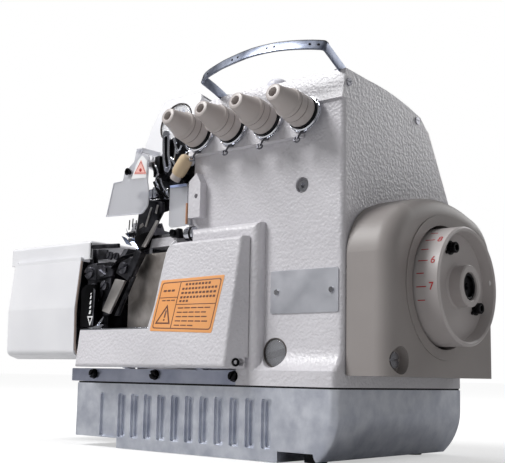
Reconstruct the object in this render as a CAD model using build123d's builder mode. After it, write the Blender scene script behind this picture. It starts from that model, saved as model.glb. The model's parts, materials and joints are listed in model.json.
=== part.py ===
"""Overlock (serger) machine head: oil pan, cast frame, covers, needle head, loopers and direct drive.

Millimetres. +X is the operator's right, -Y the operator's side, +Z up.
The origin is the centre of the flat underside of the oil pan's sump.
"""
from build123d import *
from math import cos, radians, sin, tan
import os

os.makedirs("parts", exist_ok=True)

# ---------------------------------------------------------------- driving dimensions
fit = 0.03                  # radial play of a running fit
gap = 0.5                   # air between pieces of different bodies
loose_fit = 0.09            # radial play where a cover turns on its rod

pan_width = 300.0
pan_depth = 193.0
pan_top = 56.6
pan_wall = 8.0
pan_shelf = 8.5             # underside of the pan beside its sump
sump_left = -89.4
sump_right = 95.6
foot_radius = 9.0
foot_inset = 26.5
flute_count = 11
flute_pitch = 16.8
flute_width = 10.6
flute_first = -83.7
flute_top = 48.0
flute_depth = 4.5

gasket_thickness = 1.4
flange_bottom = pan_top + gasket_thickness
flange_top = 70.0
frame_left = -15.0
frame_right = pan_width / 2
frame_front = -87.5
frame_back = 95.0
frame_top = 282.5
frame_top_back = 37.0
frame_wall = 7.0
bed_left = -110.0
bed_front = -58.0
bed_top = 186.0
rib_left = -4.0
rib_right = 73.0
rib_front = -97.5

cover_top = 307.0
cover_lean = 12.0           # degrees the tension apron leans back
apron_bottom = 255.0
apron_left = -11.0
apron_right = 112.0
cover_wall = 4.0

knob_count = 4
knob_first = 2.0
knob_pitch = 38.3
knob_height = 272.0         # where a stud meets the apron
knob_length = 38.0
knob_base_radius = 13.4
knob_tip_radius = 7.6
stud_radius = 3.2

shaft_radius = 8.0
shaft_y = -5.0
shaft_z = 138.0
bush_wall = 4.0
wheel_outer = frame_right + 62.0
wheel_radius = 47.0
wheel_depth = 37.0
motor_cover_left = frame_right + 1.0
motor_cover_right = frame_right + 40.0
motor_cover_half = 84.0
motor_cover_bottom = 67.0
motor_cover_wall = 3.5
wheel_opening = wheel_radius + 2.5

needle_x = -76.0
needle_y = -68.0
needle_bar_radius = 3.6
needle_bar_bottom = 226.0
needle_bar_length = 52.0
feed_rows = (needle_x - 7.5, needle_x + 7.5)
needle_lean = 14.0          # degrees that the needle bar leans back at its top
plate_top = 190.0

looper_cover_left = -127.0
looper_cover_right = 57.0
looper_cover_back_right = 65.5
looper_cover_bottom = 71.0
looper_cover_top = 178.0
looper_cover_low_y = -118.0
looper_cover_high_y = -105.5
looper_cover_wall = 3.5
looper_hinge_z = 76.0
looper_hinge_y = -104.0
hinge_rod_radius = 3.0

slab_left = -259.0
cloth_left = -247.0
cloth_right = -143.0
cloth_wall = 3.0
cloth_pin_radius = 3.0
cloth_pin_x = -141.0
cloth_pin_y = 62.0

button_travel = 4.0
button_spot = (-93.0, 182.5)        # y and z of the stitch-length button's axis

apron_slope = tan(radians(cover_lean))
apron_foot = frame_front - 8.0      # y of the apron at its lower edge


# ---------------------------------------------------------------- planes and repeated shapes
def facing_front(y):
    """A plane whose normal points at the operator: local x is X, local y is Z."""
    return Plane.XZ.offset(-y)


def facing_right(x):
    """A plane whose normal points to the right: local x is Y, local y is Z."""
    return Plane.YZ.offset(x)


def level(z):
    """A horizontal plane: local x is X, local y is Y."""
    return Plane.XY.offset(z)


def apron_plane(x, z):
    """The plane of the leaning apron at a height, its normal pointing forward and up."""
    y = apron_foot + (z - apron_bottom) * apron_slope
    forward = (0, -cos(radians(cover_lean)), sin(radians(cover_lean)))
    return Plane(origin=(x, y, z), x_dir=(1, 0, 0), z_dir=forward)


def ray_plane(start, end):
    """A plane at start whose normal points to end."""
    return Plane(origin=start, z_dir=Vector(*end) - Vector(*start))


def bar(plane, radius, length, mode=Mode.ADD):
    """A round bar standing on a plane."""
    with BuildSketch(plane) as outline:
        Circle(radius)
    extrude(outline.sketch, amount=length, mode=mode)


def pipe(plane, outer, inner, length):
    """A round sleeve standing on a plane."""
    with BuildSketch(plane) as outline:
        Circle(outer)
        Circle(inner, mode=Mode.SUBTRACT)
    extrude(outline.sketch, amount=length)


def block(plane, centre, size, depth, corner=0.0, mode=Mode.ADD):
    """A rectangular piece, centred at a point of its plane, with optional rounded corners."""
    with BuildSketch(plane) as outline:
        with Locations(centre):
            if corner > 0:
                RectangleRounded(size[0], size[1], corner)
            else:
                Rectangle(size[0], size[1])
    extrude(outline.sketch, amount=depth, mode=mode)


def prism(plane, points, depth, mode=Mode.ADD):
    """A straight prism over a polygon."""
    with BuildSketch(plane) as outline:
        Polygon(*points, align=None)
    extrude(outline.sketch, amount=depth, mode=mode)


def slotted_screw(plane, radius, head, shank_radius, shank):
    """A cheese-head screw: head in front of the plane, shank behind it."""
    slot_width = radius * 0.3
    bar(plane, radius, head)
    bar(plane, shank_radius, -shank)
    block(plane.offset(head), (0, 0), (radius * 2.2, slot_width), -head * 0.45, mode=Mode.SUBTRACT)


pieces = {}


def finish(piece, name):
    """Keep a finished piece under its name."""
    pieces[name] = piece


def seat(host, *guests):
    """Cut the seats of other pieces of the same body out of a host."""
    with BuildPart() as seated:
        add(pieces[host].part)
        for guest in guests:
            add(pieces[guest].part, mode=Mode.SUBTRACT)
    pieces[host] = seated


# ---------------------------------------------------------------- base
with BuildPart() as oil_pan:
    half = pan_width / 2
    with BuildSketch(Plane.XZ):
        with BuildLine():
            Polyline((half, 37), (half, pan_top), (-half, pan_top), (-half, pan_shelf),
                     (sump_left, pan_shelf), (sump_left, 0), (sump_right, 0),
                     (sump_right, pan_shelf), (half - 20, pan_shelf), (half - 19, 2.5),
                     (half - 17, 2.5))
            ThreePointArc((half - 17, 2.5), (half - 4.2, 20), (half, 37))
        make_face()
    extrude(amount=pan_depth / 2, both=True)
    upright_edges = oil_pan.edges().filter_by(Axis.Z).group_by(Axis.X)
    fillet(upright_edges[0] + upright_edges[-1], radius=6)
    inner = half - pan_wall
    with BuildSketch(Plane.XZ):
        Polygon((inner, 40), (inner, pan_top + 1), (-inner, pan_top + 1), (-inner, pan_shelf + 6),
                (sump_left + 6, pan_shelf + 6), (sump_left + 6, 5.5), (sump_right - 6, 5.5),
                (sump_right - 6, pan_shelf + 6), (inner - 16, pan_shelf + 6), align=None)
    extrude(amount=pan_depth / 2 - pan_wall, both=True, mode=Mode.SUBTRACT)
    flute_height = flute_top - pan_shelf - 1
    flute_centre = (flute_top + pan_shelf + 1) / 2
    with BuildSketch(facing_front(-pan_depth / 2)):
        for flute in range(flute_count):
            with Locations((flute_first + flute * flute_pitch, flute_centre)):
                RectangleRounded(flute_width, flute_height, 2)
        with Locations((flute_first - 18.8, flute_centre)):
            RectangleRounded(2 * flute_width, flute_height, 2)
    extrude(amount=-flute_depth / 2, mode=Mode.SUBTRACT)
    with BuildSketch(facing_front(-pan_depth / 2)):
        for flute in range(flute_count):
            with Locations((flute_first + flute * flute_pitch, flute_centre)):
                RectangleRounded(flute_width * 0.55, flute_height - 3, 2)
    extrude(amount=-flute_depth, mode=Mode.SUBTRACT)
finish(oil_pan, "oil_pan")

foot_spots = [(sx * (pan_width / 2) + dx, sy * (pan_depth / 2 - foot_inset))
              for sx, dx in ((-1, 49), (1, -37)) for sy in (-1, 1)]
with BuildPart() as pan_feet:
    with BuildSketch(level(0)):
        with Locations(*foot_spots):
            Circle(foot_radius)
    extrude(amount=pan_shelf)
finish(pan_feet, "pan_feet")

with BuildPart() as pan_gasket:
    with BuildSketch(level(pan_top)):
        RectangleRounded(pan_width - 2, pan_depth - 2, 5)
        RectangleRounded(pan_width - 2 * pan_wall - 4, pan_depth - 2 * pan_wall - 4, 4, mode=Mode.SUBTRACT)
    extrude(amount=gasket_thickness)
finish(pan_gasket, "pan_gasket")

# ---------------------------------------------------------------- main casting
bore_radius = shaft_radius + bush_wall
screw_column = (109.8, 217.0)
gauge_spot = (85.0, 84.0)
rail_right = 52.0
rail_left = -155.0
rail_thickness = 9.5
rail_front = -97.0
with BuildPart() as main_frame:
    # looper housing rib, whose top is the ledge over the front cover
    block(level(flange_bottom), ((rib_left + rib_right) / 2, (rib_front + frame_front) / 2 + 4),
          (rib_right - rib_left, frame_front - rib_front + 8), plate_top - flange_bottom)
    rib_front_face = main_frame.faces().sort_by(Axis.Y)[0]
    fillet(rib_front_face.edges().sort_by(Axis.Z)[1:], radius=6)
    # column: one side profile, straight at the front, sloping at the back
    with BuildSketch(facing_right(frame_left)):
        with BuildLine():
            Polyline((frame_front - 10, flange_top), (frame_front - 10, flange_bottom),
                     (frame_back, flange_bottom), (frame_back, flange_top + 5), (80.5, 210.5),
                     (75, 221), (frame_top_back + 4, frame_top - 2.5),
                     (frame_top_back, frame_top), (frame_front, frame_top), (frame_front, 90))
            RadiusArc((frame_front, 90), (frame_front - 10, flange_top), 24)
        make_face()
    extrude(amount=frame_right - frame_left)
    fillet(main_frame.edges().filter_by(Axis.Z).group_by(Axis.X)[-1], radius=4)
    # foot flange over the whole pan, and the bed behind the loopers
    block(level(flange_bottom), (-half / 2 - 4, (bed_front + frame_back) / 2),
          (half - 8, frame_back - bed_front), flange_top - flange_bottom)
    block(level(flange_bottom), (-half / 2 - 3, (rail_front + rail_thickness + bed_front) / 2),
          (half - 10, bed_front - rail_front - rail_thickness + 2), flange_top - flange_bottom)
    block(level(flange_top - 2), ((bed_left + frame_left) / 2, (bed_front + 80) / 2),
          (frame_left - bed_left + 2, 80 - bed_front), bed_top - flange_top + 2, corner=6)
    # shelf under the stitch plate, in front of the bed
    block(level(bed_top - 8), (-43, (bed_front - 92) / 2 + 1), (36, bed_front + 94), 8)
    # arm that carries the needle head
    with BuildSketch(facing_right(frame_left + 1)):
        Polygon((-62, 248), (10, 248), (10, frame_top + 8), (-62, frame_top + 8), align=None)
    extrude(amount=-50)
    # finger boss beside the needle head
    prism(facing_front(frame_front + 1), ((-9, 200), (5, 200), (5, 230), (0, 239), (-9, 232)), 9)
    # hollow inside, open to the oil pan below and the cover above
    with BuildSketch(facing_right(frame_left + frame_wall)):
        Polygon((frame_front + frame_wall, flange_bottom - 1), (frame_back - 14, flange_bottom - 1),
                (frame_back - 18, flange_top + 5), (70, 205), (frame_top_back - 6, frame_top + 1),
                (frame_front + frame_wall, frame_top + 1), align=None)
    extrude(amount=frame_right - frame_left - 2 * frame_wall, mode=Mode.SUBTRACT)
    prism(facing_right(bed_left + frame_wall),
          ((bed_front - 1, 84), (70, 84), (70, 172), (bed_front - 1, 172)),
          frame_left - bed_left - frame_wall, mode=Mode.SUBTRACT)
    # rail pocket, bores, counterbore and gauge recess
    block(level(flange_bottom - 1), ((rail_left + rail_right) / 2, rail_front + rail_thickness / 2 - 1),
          (rail_right - rail_left + 0.4, rail_thickness + 2), flange_top - flange_bottom + 2,
          mode=Mode.SUBTRACT)
    bar(Plane(origin=(bed_left - 1, shaft_y, shaft_z), z_dir=(1, 0, 0)), bore_radius,
        frame_right - bed_left + 2, mode=Mode.SUBTRACT)
    bar(facing_front(frame_front - 1).shift_origin((screw_column[0], frame_front - 1, screw_column[1])),
        6.5, -5, mode=Mode.SUBTRACT)
    bar(facing_front(-100).shift_origin((0, -100, 218.7)), 2, -14, mode=Mode.SUBTRACT)
    bar(facing_right(rib_left - 1).shift_origin((rib_left - 1, button_spot[0], button_spot[1])), 3.0 + fit, 22,
        mode=Mode.SUBTRACT)
    bar(facing_front(-100).shift_origin((gauge_spot[0], -100, gauge_spot[1])), 12, -15, mode=Mode.SUBTRACT)
finish(main_frame, "main_frame")

# ---------------------------------------------------------------- top cover and what is on it
left_shoulder = 26.0
oil_cap_spot = (54.0, -52.0, 304.2)
oil_dome_height = 15.0
with BuildPart() as top_cover:
    with BuildSketch(facing_right(apron_left)):
        with BuildLine():
            Polyline((-53, 304.5), (apron_foot + (cover_top - apron_bottom) * apron_slope, cover_top),
                     (apron_foot, apron_bottom), (frame_front - gap, apron_bottom),
                     (frame_front - gap, frame_top), (frame_top_back, frame_top), (28, 290.6))
            ThreePointArc((28, 290.6), (-10, 299.9), (-53, 304.5))
        make_face()
    extrude(amount=frame_right - apron_left)
    # the apron stops short of the right end; past it the cover ends at the seam
    block(facing_front(apron_foot - 5), ((apron_right + frame_right) / 2 + 1, frame_top - 20),
          (frame_right - apron_right + 2, 40), -25, mode=Mode.SUBTRACT)
    # the left shoulder is round
    with BuildSketch(facing_front(apron_foot - 5)) as shoulder:
        with Locations((apron_left, cover_top)):
            Rectangle(2 * left_shoulder, 2 * left_shoulder)
        with Locations((apron_left + left_shoulder, cover_top - left_shoulder)):
            Circle(left_shoulder, mode=Mode.SUBTRACT)
    extrude(shoulder.sketch, amount=-150, mode=Mode.SUBTRACT)
    prism(facing_right(apron_left + left_shoulder * 0.6),
          ((frame_front + frame_wall, frame_top - 1), (frame_top_back - 8, frame_top - 1),
           (20, 288), (-12, 295), (-53, 300), (frame_front + frame_wall, 302)),
          frame_right - apron_left - left_shoulder * 0.6 - cover_wall, mode=Mode.SUBTRACT)
    bar(Plane(origin=(oil_cap_spot[0], oil_cap_spot[1], oil_cap_spot[2] - gap)), 11 + gap, 4, mode=Mode.SUBTRACT)
    bar(Plane(origin=oil_cap_spot), 5 + fit, -8, mode=Mode.SUBTRACT)
finish(top_cover, "top_cover")

cover_screw_spots = ((-81.0, 296.0), (22.0, 287.0))
with BuildPart() as top_cover_screws:
    for screw_y, screw_z in cover_screw_spots:
        slotted_screw(facing_right(frame_right).shift_origin((frame_right, screw_y, screw_z)),
                      3.2, 1.2, 1.5, 3.0)
finish(top_cover_screws, "top_cover_screws")

with BuildPart() as oil_cap:
    bar(Plane(origin=oil_cap_spot), 5, -6)
    bar(Plane(origin=oil_cap_spot), 11, 4)
    bar(Plane(origin=oil_cap_spot).offset(4), 9.5, oil_dome_height)
    fillet(oil_cap.edges().sort_by(Axis.Z)[-1], radius=6)
finish(oil_cap, "oil_cap")

guide_feet = (11.0, 138.5)
guide_y = -77.0
guide_foot_z = 306.2
guide_rise = radians(22)
guide_leg = 27.0
guide_strip = 9.0
guide_thickness = 1.8
guide_bulge = 11.0
with BuildPart() as thread_guide_bar:
    along = Vector(0, -cos(guide_rise), sin(guide_rise))
    bar_plane = Plane(origin=(0, guide_y, guide_foot_z + 2.6), x_dir=(1, 0, 0),
                      z_dir=along.cross(Vector(1, 0, 0)) * -1)
    middle = (guide_feet[0] + guide_feet[1]) / 2
    with BuildSketch(bar_plane) as strip:
        with BuildLine():
            FilletPolyline((guide_feet[0], 0), (guide_feet[0] - 6, guide_leg),
                           (middle - 34, guide_leg + guide_bulge), (middle + 34, guide_leg + guide_bulge),
                           (guide_feet[1] + 6, guide_leg), (guide_feet[1], 0), radius=(5, 60, 60, 5))
            offset(amount=guide_thickness, side=Side.LEFT)
        make_face()
    extrude(amount=guide_strip / 2, both=True)
    for foot_x, inward in ((guide_feet[0], 1), (guide_feet[1], -1)):
        block(level(guide_foot_z + 0.3), (foot_x + inward * 3, guide_y + 3), (14, 12), 2.2, corner=3)
finish(thread_guide_bar, "thread_guide_bar")

with BuildPart() as guide_bar_screws:
    for foot_x, inward in ((guide_feet[0], 1), (guide_feet[1], -1)):
        slotted_screw(Plane(origin=(foot_x + inward * 4, guide_y + 4, guide_foot_z + 2.5)),
                      3.4, 2.4, 1.6, 4.0)
finish(guide_bar_screws, "guide_bar_screws")

# ---------------------------------------------------------------- needle head
head_base = 262.0
head_top = 323.0
head_shift = 12.0            # the head's front stands this far behind the apron's plane
head_plane = Plane(origin=(0, apron_foot + head_shift, apron_bottom), x_dir=(1, 0, 0),
                   z_dir=(0, -cos(radians(cover_lean)), sin(radians(cover_lean))))
head_low = (head_base - apron_bottom) / cos(radians(cover_lean))
head_high = (head_top - apron_bottom) / cos(radians(cover_lean))
head_outline = ((-89, head_low), (-33, head_low), (-27, head_low + 36), (-17, head_high), (-71, head_high),
                (-82, head_low + 36), (-88, head_low + 9))
window_spot = (-48.5, 42.0)
window_radius = 20.0
with BuildPart() as head_cover:
    with BuildSketch(head_plane) as outline:
        Polygon(*head_outline, align=None)
        fillet(outline.vertices().sort_by(Axis.Y)[-2:], radius=8)
    extrude(amount=-88)
    fillet(head_cover.faces().filter_by(Axis.X, reverse=True).sort_by(Axis.Y)[0].edges(), radius=2)
    with BuildSketch(head_plane.offset(-2.5)) as inside:
        Polygon((-86, head_low - 3), (-36, head_low - 3), (-30, head_low + 36), (-20.5, head_high - 3),
                (-69, head_high - 3), (-79, head_low + 36), (-85, head_low + 9), align=None)
    extrude(amount=-83, mode=Mode.SUBTRACT)
    bar(head_plane.offset(1).shift_origin(head_plane.offset(1).from_local_coords((window_spot[0], window_spot[1], 0))),
        window_radius + fit, -6, mode=Mode.SUBTRACT)
finish(head_cover, "head_cover")

with BuildPart() as oil_window_bezel:
    window_plane = head_plane.shift_origin(head_plane.from_local_coords((window_spot[0], window_spot[1], 0)))
    pipe(window_plane.offset(-5), window_radius, window_radius - 1.6, 6.2)
finish(oil_window_bezel, "oil_window_bezel")

with BuildPart() as sight_glasses:
    bar(window_plane.offset(-4), window_radius - 1.6, 4.6)
    gauge_plane = facing_front(frame_front).shift_origin((gauge_spot[0], frame_front, gauge_spot[1]))
    bar(gauge_plane.offset(-2.0), 12, 5.5)
    fillet(sight_glasses.edges().filter_by(GeomType.CIRCLE).sort_by(Axis.Z)[:1], radius=1.5)
finish(sight_glasses, "sight_glasses")

# ---------------------------------------------------------------- thread tensions
knob_spots = [knob_first + number * knob_pitch for number in range(knob_count)]
disc_stack = 6.0            # height of the disc pair and its ring above the apron


def stud_plane(number):
    """The plane where a tension's stud leaves the apron."""
    return apron_plane(knob_spots[number], knob_height)


def turned(plane, profile, mode=Mode.ADD):
    """A turned piece: the profile gives radius and height above the plane."""
    forward = plane.z_dir
    section_plane = Plane(origin=plane.origin, x_dir=plane.x_dir, z_dir=plane.x_dir.cross(forward))
    with BuildSketch(section_plane) as section:
        Polygon(*profile, align=None)
    revolve(section.sketch, axis=Axis(plane.origin, forward), mode=mode)


with BuildPart() as tension_studs:
    for number in range(knob_count):
        bar(stud_plane(number).offset(-cover_wall), stud_radius, cover_wall + disc_stack + 26)
finish(tension_studs, "tension_studs")

with BuildPart() as tension_discs:
    bore = stud_radius + fit
    for number in range(knob_count):
        turned(stud_plane(number), ((bore, 0), (13, 0), (13, 0.8), (17.5, 0.4), (17.5, 1.4), (9, 2.2),
                                    (9, 3.0), (15.4, 3.4), (15.4, 4.4), (12.8, 4.3), (12.8, disc_stack - gap),
                                    (bore, disc_stack - gap)))
finish(tension_discs, "tension_discs")

with BuildPart() as thread_guides:
    for number in range(knob_count):
        guide_plane = stud_plane(number)
        block(guide_plane, (-1, -20), (7, 5), 1.2)
        prism(guide_plane, ((-3, -19), (1.5, -19), (-3, -28.5), (-6, -27.5)), 5.0)
finish(thread_guides, "thread_guides")

knob_profile = ((stud_radius + fit, disc_stack), (knob_base_radius - 1, disc_stack),
                (knob_base_radius, disc_stack + 1), (knob_base_radius, disc_stack + 8.5),
                (knob_base_radius - 0.8, disc_stack + 9), (knob_base_radius - 0.8, disc_stack + 9.6),
                (knob_base_radius - 0.3, disc_stack + 10.2), (knob_base_radius - 1.2, disc_stack + 15.2),
                (knob_base_radius - 2, disc_stack + 15.6), (knob_base_radius - 1.8, disc_stack + 16.2),
                (knob_base_radius - 1.3, disc_stack + 16.6), (knob_tip_radius + 2.2, disc_stack + 34),
                (knob_tip_radius, disc_stack + 36), (knob_tip_radius - 0.5, disc_stack + knob_length),
                (knob_tip_radius - 2.5, disc_stack + knob_length + 0.8),
                (stud_radius + 0.8, disc_stack + knob_length + 0.8),
                (stud_radius + fit, disc_stack + knob_length))


def tension_knob(number):
    """One moulded tension knob, turned about its stud."""
    with BuildPart() as knob:
        turned(stud_plane(number), knob_profile)
        # a key on the base stops the knob from being a plain body of revolution
        block(stud_plane(number).offset(disc_stack + 1), (knob_base_radius, 0), (1.0, 2.5), 5)
    finish(knob, f"tension_knob_{number + 1}")
    return knob


tension_knobs = [tension_knob(number) for number in range(knob_count)]

# ---------------------------------------------------------------- nameplate and column screw
plate_spot = (113.2, 132.0)
with BuildPart() as nameplate:
    block(facing_front(frame_front), plate_spot, (66.5, 34), 0.8, corner=1.5)
finish(nameplate, "nameplate")

with BuildPart() as nameplate_rivets:
    for side in (-1, 1):
        spot = (plate_spot[0] + side * 27, frame_front - 0.8, plate_spot[1])
        bar(facing_front(spot[1]).shift_origin(spot), 2.2, 1.0)
finish(nameplate_rivets, "nameplate_rivets")

with BuildPart() as column_screw:
    spot = (screw_column[0], frame_front + 4, screw_column[1])
    bar(facing_front(spot[1]).shift_origin(spot), 5.0, 2.2)
    bar(facing_front(spot[1]).shift_origin(spot).offset(2.3), 2.4, -2, mode=Mode.SUBTRACT)
finish(column_screw, "column_screw")

# ---------------------------------------------------------------- main shaft, motor and handwheel
shaft_origin = Vector(0, shaft_y, shaft_z)


def across(x):
    """A plane square to the main shaft."""
    return Plane(origin=(x, shaft_y, shaft_z), x_dir=(0, 1, 0), z_dir=(1, 0, 0))


def spun(profile, mode=Mode.ADD):
    """A body of revolution about the main shaft: the profile gives x and radius."""
    with BuildSketch(Plane(origin=(0, shaft_y, shaft_z), x_dir=(1, 0, 0), z_dir=(0, -1, 0))) as section:
        Polygon(*profile, align=None)
    revolve(section.sketch, axis=Axis((0, shaft_y, shaft_z), (1, 0, 0)), mode=mode)


with BuildPart() as shaft_bushes:
    for wall_left in (bed_left, frame_left, frame_right - frame_wall):
        pipe(across(wall_left), bore_radius, shaft_radius + fit, frame_wall)
finish(shaft_bushes, "shaft_bushes")

with BuildPart() as main_shaft:
    bar(across(bed_left + 2), shaft_radius, wheel_outer - 14 - bed_left)
    for crank_left, throw in ((bed_left + 16, 4), (-60, -5), (10, 5), (60, -4)):
        crank_plane = across(crank_left).shift_origin((crank_left, shaft_y, shaft_z + throw))
        bar(crank_plane, 16, 12)
finish(main_shaft, "main_shaft")

with BuildPart() as motor_stator:
    pipe(across(frame_right), 45, 30, 18)
    with BuildSketch(across(frame_right + 2)):
        with PolarLocations(30, 12):
            Rectangle(5, 7)
    extrude(amount=14)
    bar(across(frame_right - 1), 27.5, 20, mode=Mode.SUBTRACT)
finish(motor_stator, "motor_stator")

with BuildPart() as motor_rotor:
    pipe(across(frame_right + 3), 27, shaft_radius, 14)
finish(motor_rotor, "motor_rotor")

wheel_inner_edge = wheel_outer - wheel_depth
web_x = wheel_outer - 10
hub_end = wheel_outer + 2
socket_floor = web_x - 1.5
hub_radius = 16.5
socket_radius = 11.0
with BuildPart() as handwheel:
    spun(((wheel_inner_edge, shaft_radius), (wheel_inner_edge, hub_radius), (web_x - 4, hub_radius),
          (web_x - 4, wheel_radius - 3), (wheel_inner_edge, wheel_radius - 3), (wheel_inner_edge, wheel_radius),
          (wheel_outer - 1.5, wheel_radius), (wheel_outer, wheel_radius - 1.5), (wheel_outer, wheel_radius - 2.5),
          (wheel_outer - 1, wheel_radius - 3.5), (web_x, wheel_radius - 5), (web_x, hub_radius + 1.5),
          (web_x + 1.5, hub_radius), (hub_end - 1, hub_radius), (hub_end, hub_radius - 1),
          (hub_end, socket_radius + 1), (hub_end - 1, socket_radius), (socket_floor, socket_radius),
          (socket_floor, shaft_radius)))
    # curved slots through the web
    for slot_angle, slot_sweep in ((8, 48), (148, 34), (208, 22), (272, 34)):
        with BuildSketch(across(web_x - 6)) as slots:
            SlotArc(CenterArc((0, 0), 31, slot_angle, slot_sweep), 5)
        extrude(slots.sketch, amount=10, mode=Mode.SUBTRACT)
finish(handwheel, "handwheel")

with BuildPart() as handwheel_screws:
    for angle in (111.5, -28.5):
        screw_plane = across(web_x).shift_origin((web_x, shaft_y + 32 * cos(radians(angle)),
                                                  shaft_z + 32 * sin(radians(angle))))
        bar(screw_plane, 4.6, 5)
        bar(screw_plane.offset(1.5), 2.6, 4, mode=Mode.SUBTRACT)
finish(handwheel_screws, "handwheel_screws")

with BuildPart() as shaft_screw:
    bar(across(socket_floor), socket_radius - 0.8, 6)
    bar(across(socket_floor + 3), 5, 4, mode=Mode.SUBTRACT)
finish(shaft_screw, "shaft_screw")

cover_length = motor_cover_right - motor_cover_left
with BuildPart() as motor_cover:
    with BuildSketch(facing_right(motor_cover_left)) as outline:
        with BuildLine():
            half_y = motor_cover_half
            Line((-half_y, motor_cover_bottom), (-half_y, 160))
            ThreePointArc((-half_y, 160), (-74, 185.5), (-50, 201))
            ThreePointArc((-50, 201), (0, 211), (50, 204))
            ThreePointArc((50, 204), (76, 188), (half_y, 160))
            Polyline((half_y, 160), (half_y, motor_cover_bottom), (-half_y, motor_cover_bottom))
        make_face()
    extrude(outline.sketch, amount=cover_length)
    rim = motor_cover.faces().sort_by(Axis.X)[-1].edges().sort_by(Axis.Z)[1:]
    fillet(rim, radius=14)
    with BuildSketch(facing_right(motor_cover_left)) as hollow:
        with BuildLine():
            half_y = motor_cover_half - motor_cover_wall
            Line((-half_y, motor_cover_bottom + motor_cover_wall), (-half_y, 160))
            ThreePointArc((-half_y, 160), (-71, 183), (-48, 197.5))
            ThreePointArc((-48, 197.5), (0, 207), (48, 200.5))
            ThreePointArc((48, 200.5), (73, 185.5), (half_y, 160))
            Polyline((half_y, 160), (half_y, motor_cover_bottom + motor_cover_wall),
                     (-half_y, motor_cover_bottom + motor_cover_wall))
        make_face()
    extrude(hollow.sketch, amount=cover_length - motor_cover_wall - 8, mode=Mode.SUBTRACT)
    bar(across(motor_cover_left), wheel_opening, cover_length + 1, mode=Mode.SUBTRACT)
    pipe(across(motor_cover_right - 0.5), 57.5, wheel_opening, 1.4)
    bar(facing_right(motor_cover_right + 1).shift_origin((motor_cover_right + 1, -69, 79)), 10.5, -9,
        mode=Mode.SUBTRACT)
finish(motor_cover, "motor_cover")

with BuildPart() as motor_cover_screws:
    for screw_y, screw_z in ((-69, 79),):
        slotted_screw(facing_right(motor_cover_right - 8).shift_origin((motor_cover_right - 8, screw_y, screw_z)),
                      6, 2.5, 2.2, 3.0)
finish(motor_cover_screws, "motor_cover_screws")

# ---------------------------------------------------------------- front (looper) cover on its hinge rail
rail_height = flange_top - flange_bottom
rail_screw_spots = (-123.0, -42.0, 50.0)
with BuildPart() as hinge_rail:
    block(facing_front(rail_front + rail_thickness - 0.3), ((rail_left + rail_right) / 2, flange_bottom + rail_height / 2),
          (rail_right - rail_left, rail_height - 0.4), rail_thickness - 0.6, corner=1)
    with BuildSketch(facing_front(rail_front - 1)) as holes:
        with Locations(*[(x, 65) for x in rail_screw_spots]):
            Circle(2.2)
    extrude(holes.sketch, amount=-rail_thickness - 2, mode=Mode.SUBTRACT)
finish(hinge_rail, "hinge_rail")

with BuildPart() as rail_screws:
    for screw_x in rail_screw_spots:
        slotted_screw(facing_front(rail_front + 0.2).shift_origin((screw_x, rail_front + 0.2, 65)), 4.6, 4.0, 2.1, 8)
finish(rail_screws, "rail_screws")

rod_left = looper_cover_left + 8
rod_right = looper_cover_right - looper_cover_wall - gap
with BuildPart() as hinge_rod:
    rod_plane = Plane(origin=(rod_left, looper_hinge_y, looper_hinge_z), x_dir=(0, 1, 0), z_dir=(1, 0, 0))
    bar(rod_plane, hinge_rod_radius, rod_right - rod_left)
    for post_x in (-80, 10):
        prism(facing_right(post_x), ((looper_hinge_y - 3.4, 72.6), (-97, flange_top - 0.2), (-91, flange_top - 0.2),
                                     (-91, 74), (looper_hinge_y + 2, 79.6), (looper_hinge_y - 3.4, 79.6)), 6)
finish(hinge_rod, "hinge_rod")

sleeve_spots = (-60, 20)
sleeve_length = 12.0
sleeve_radius = hinge_rod_radius + 2.2
knuckle_spots = tuple(spot + sleeve_length + 0.3 for spot in sleeve_spots)
with BuildPart() as cover_carriage:
    for sleeve_x in sleeve_spots:
        sleeve_plane = Plane(origin=(sleeve_x, looper_hinge_y, looper_hinge_z), x_dir=(0, 1, 0), z_dir=(1, 0, 0))
        pipe(sleeve_plane, sleeve_radius, hinge_rod_radius + fit, sleeve_length)
finish(cover_carriage, "cover_carriage")

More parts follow.
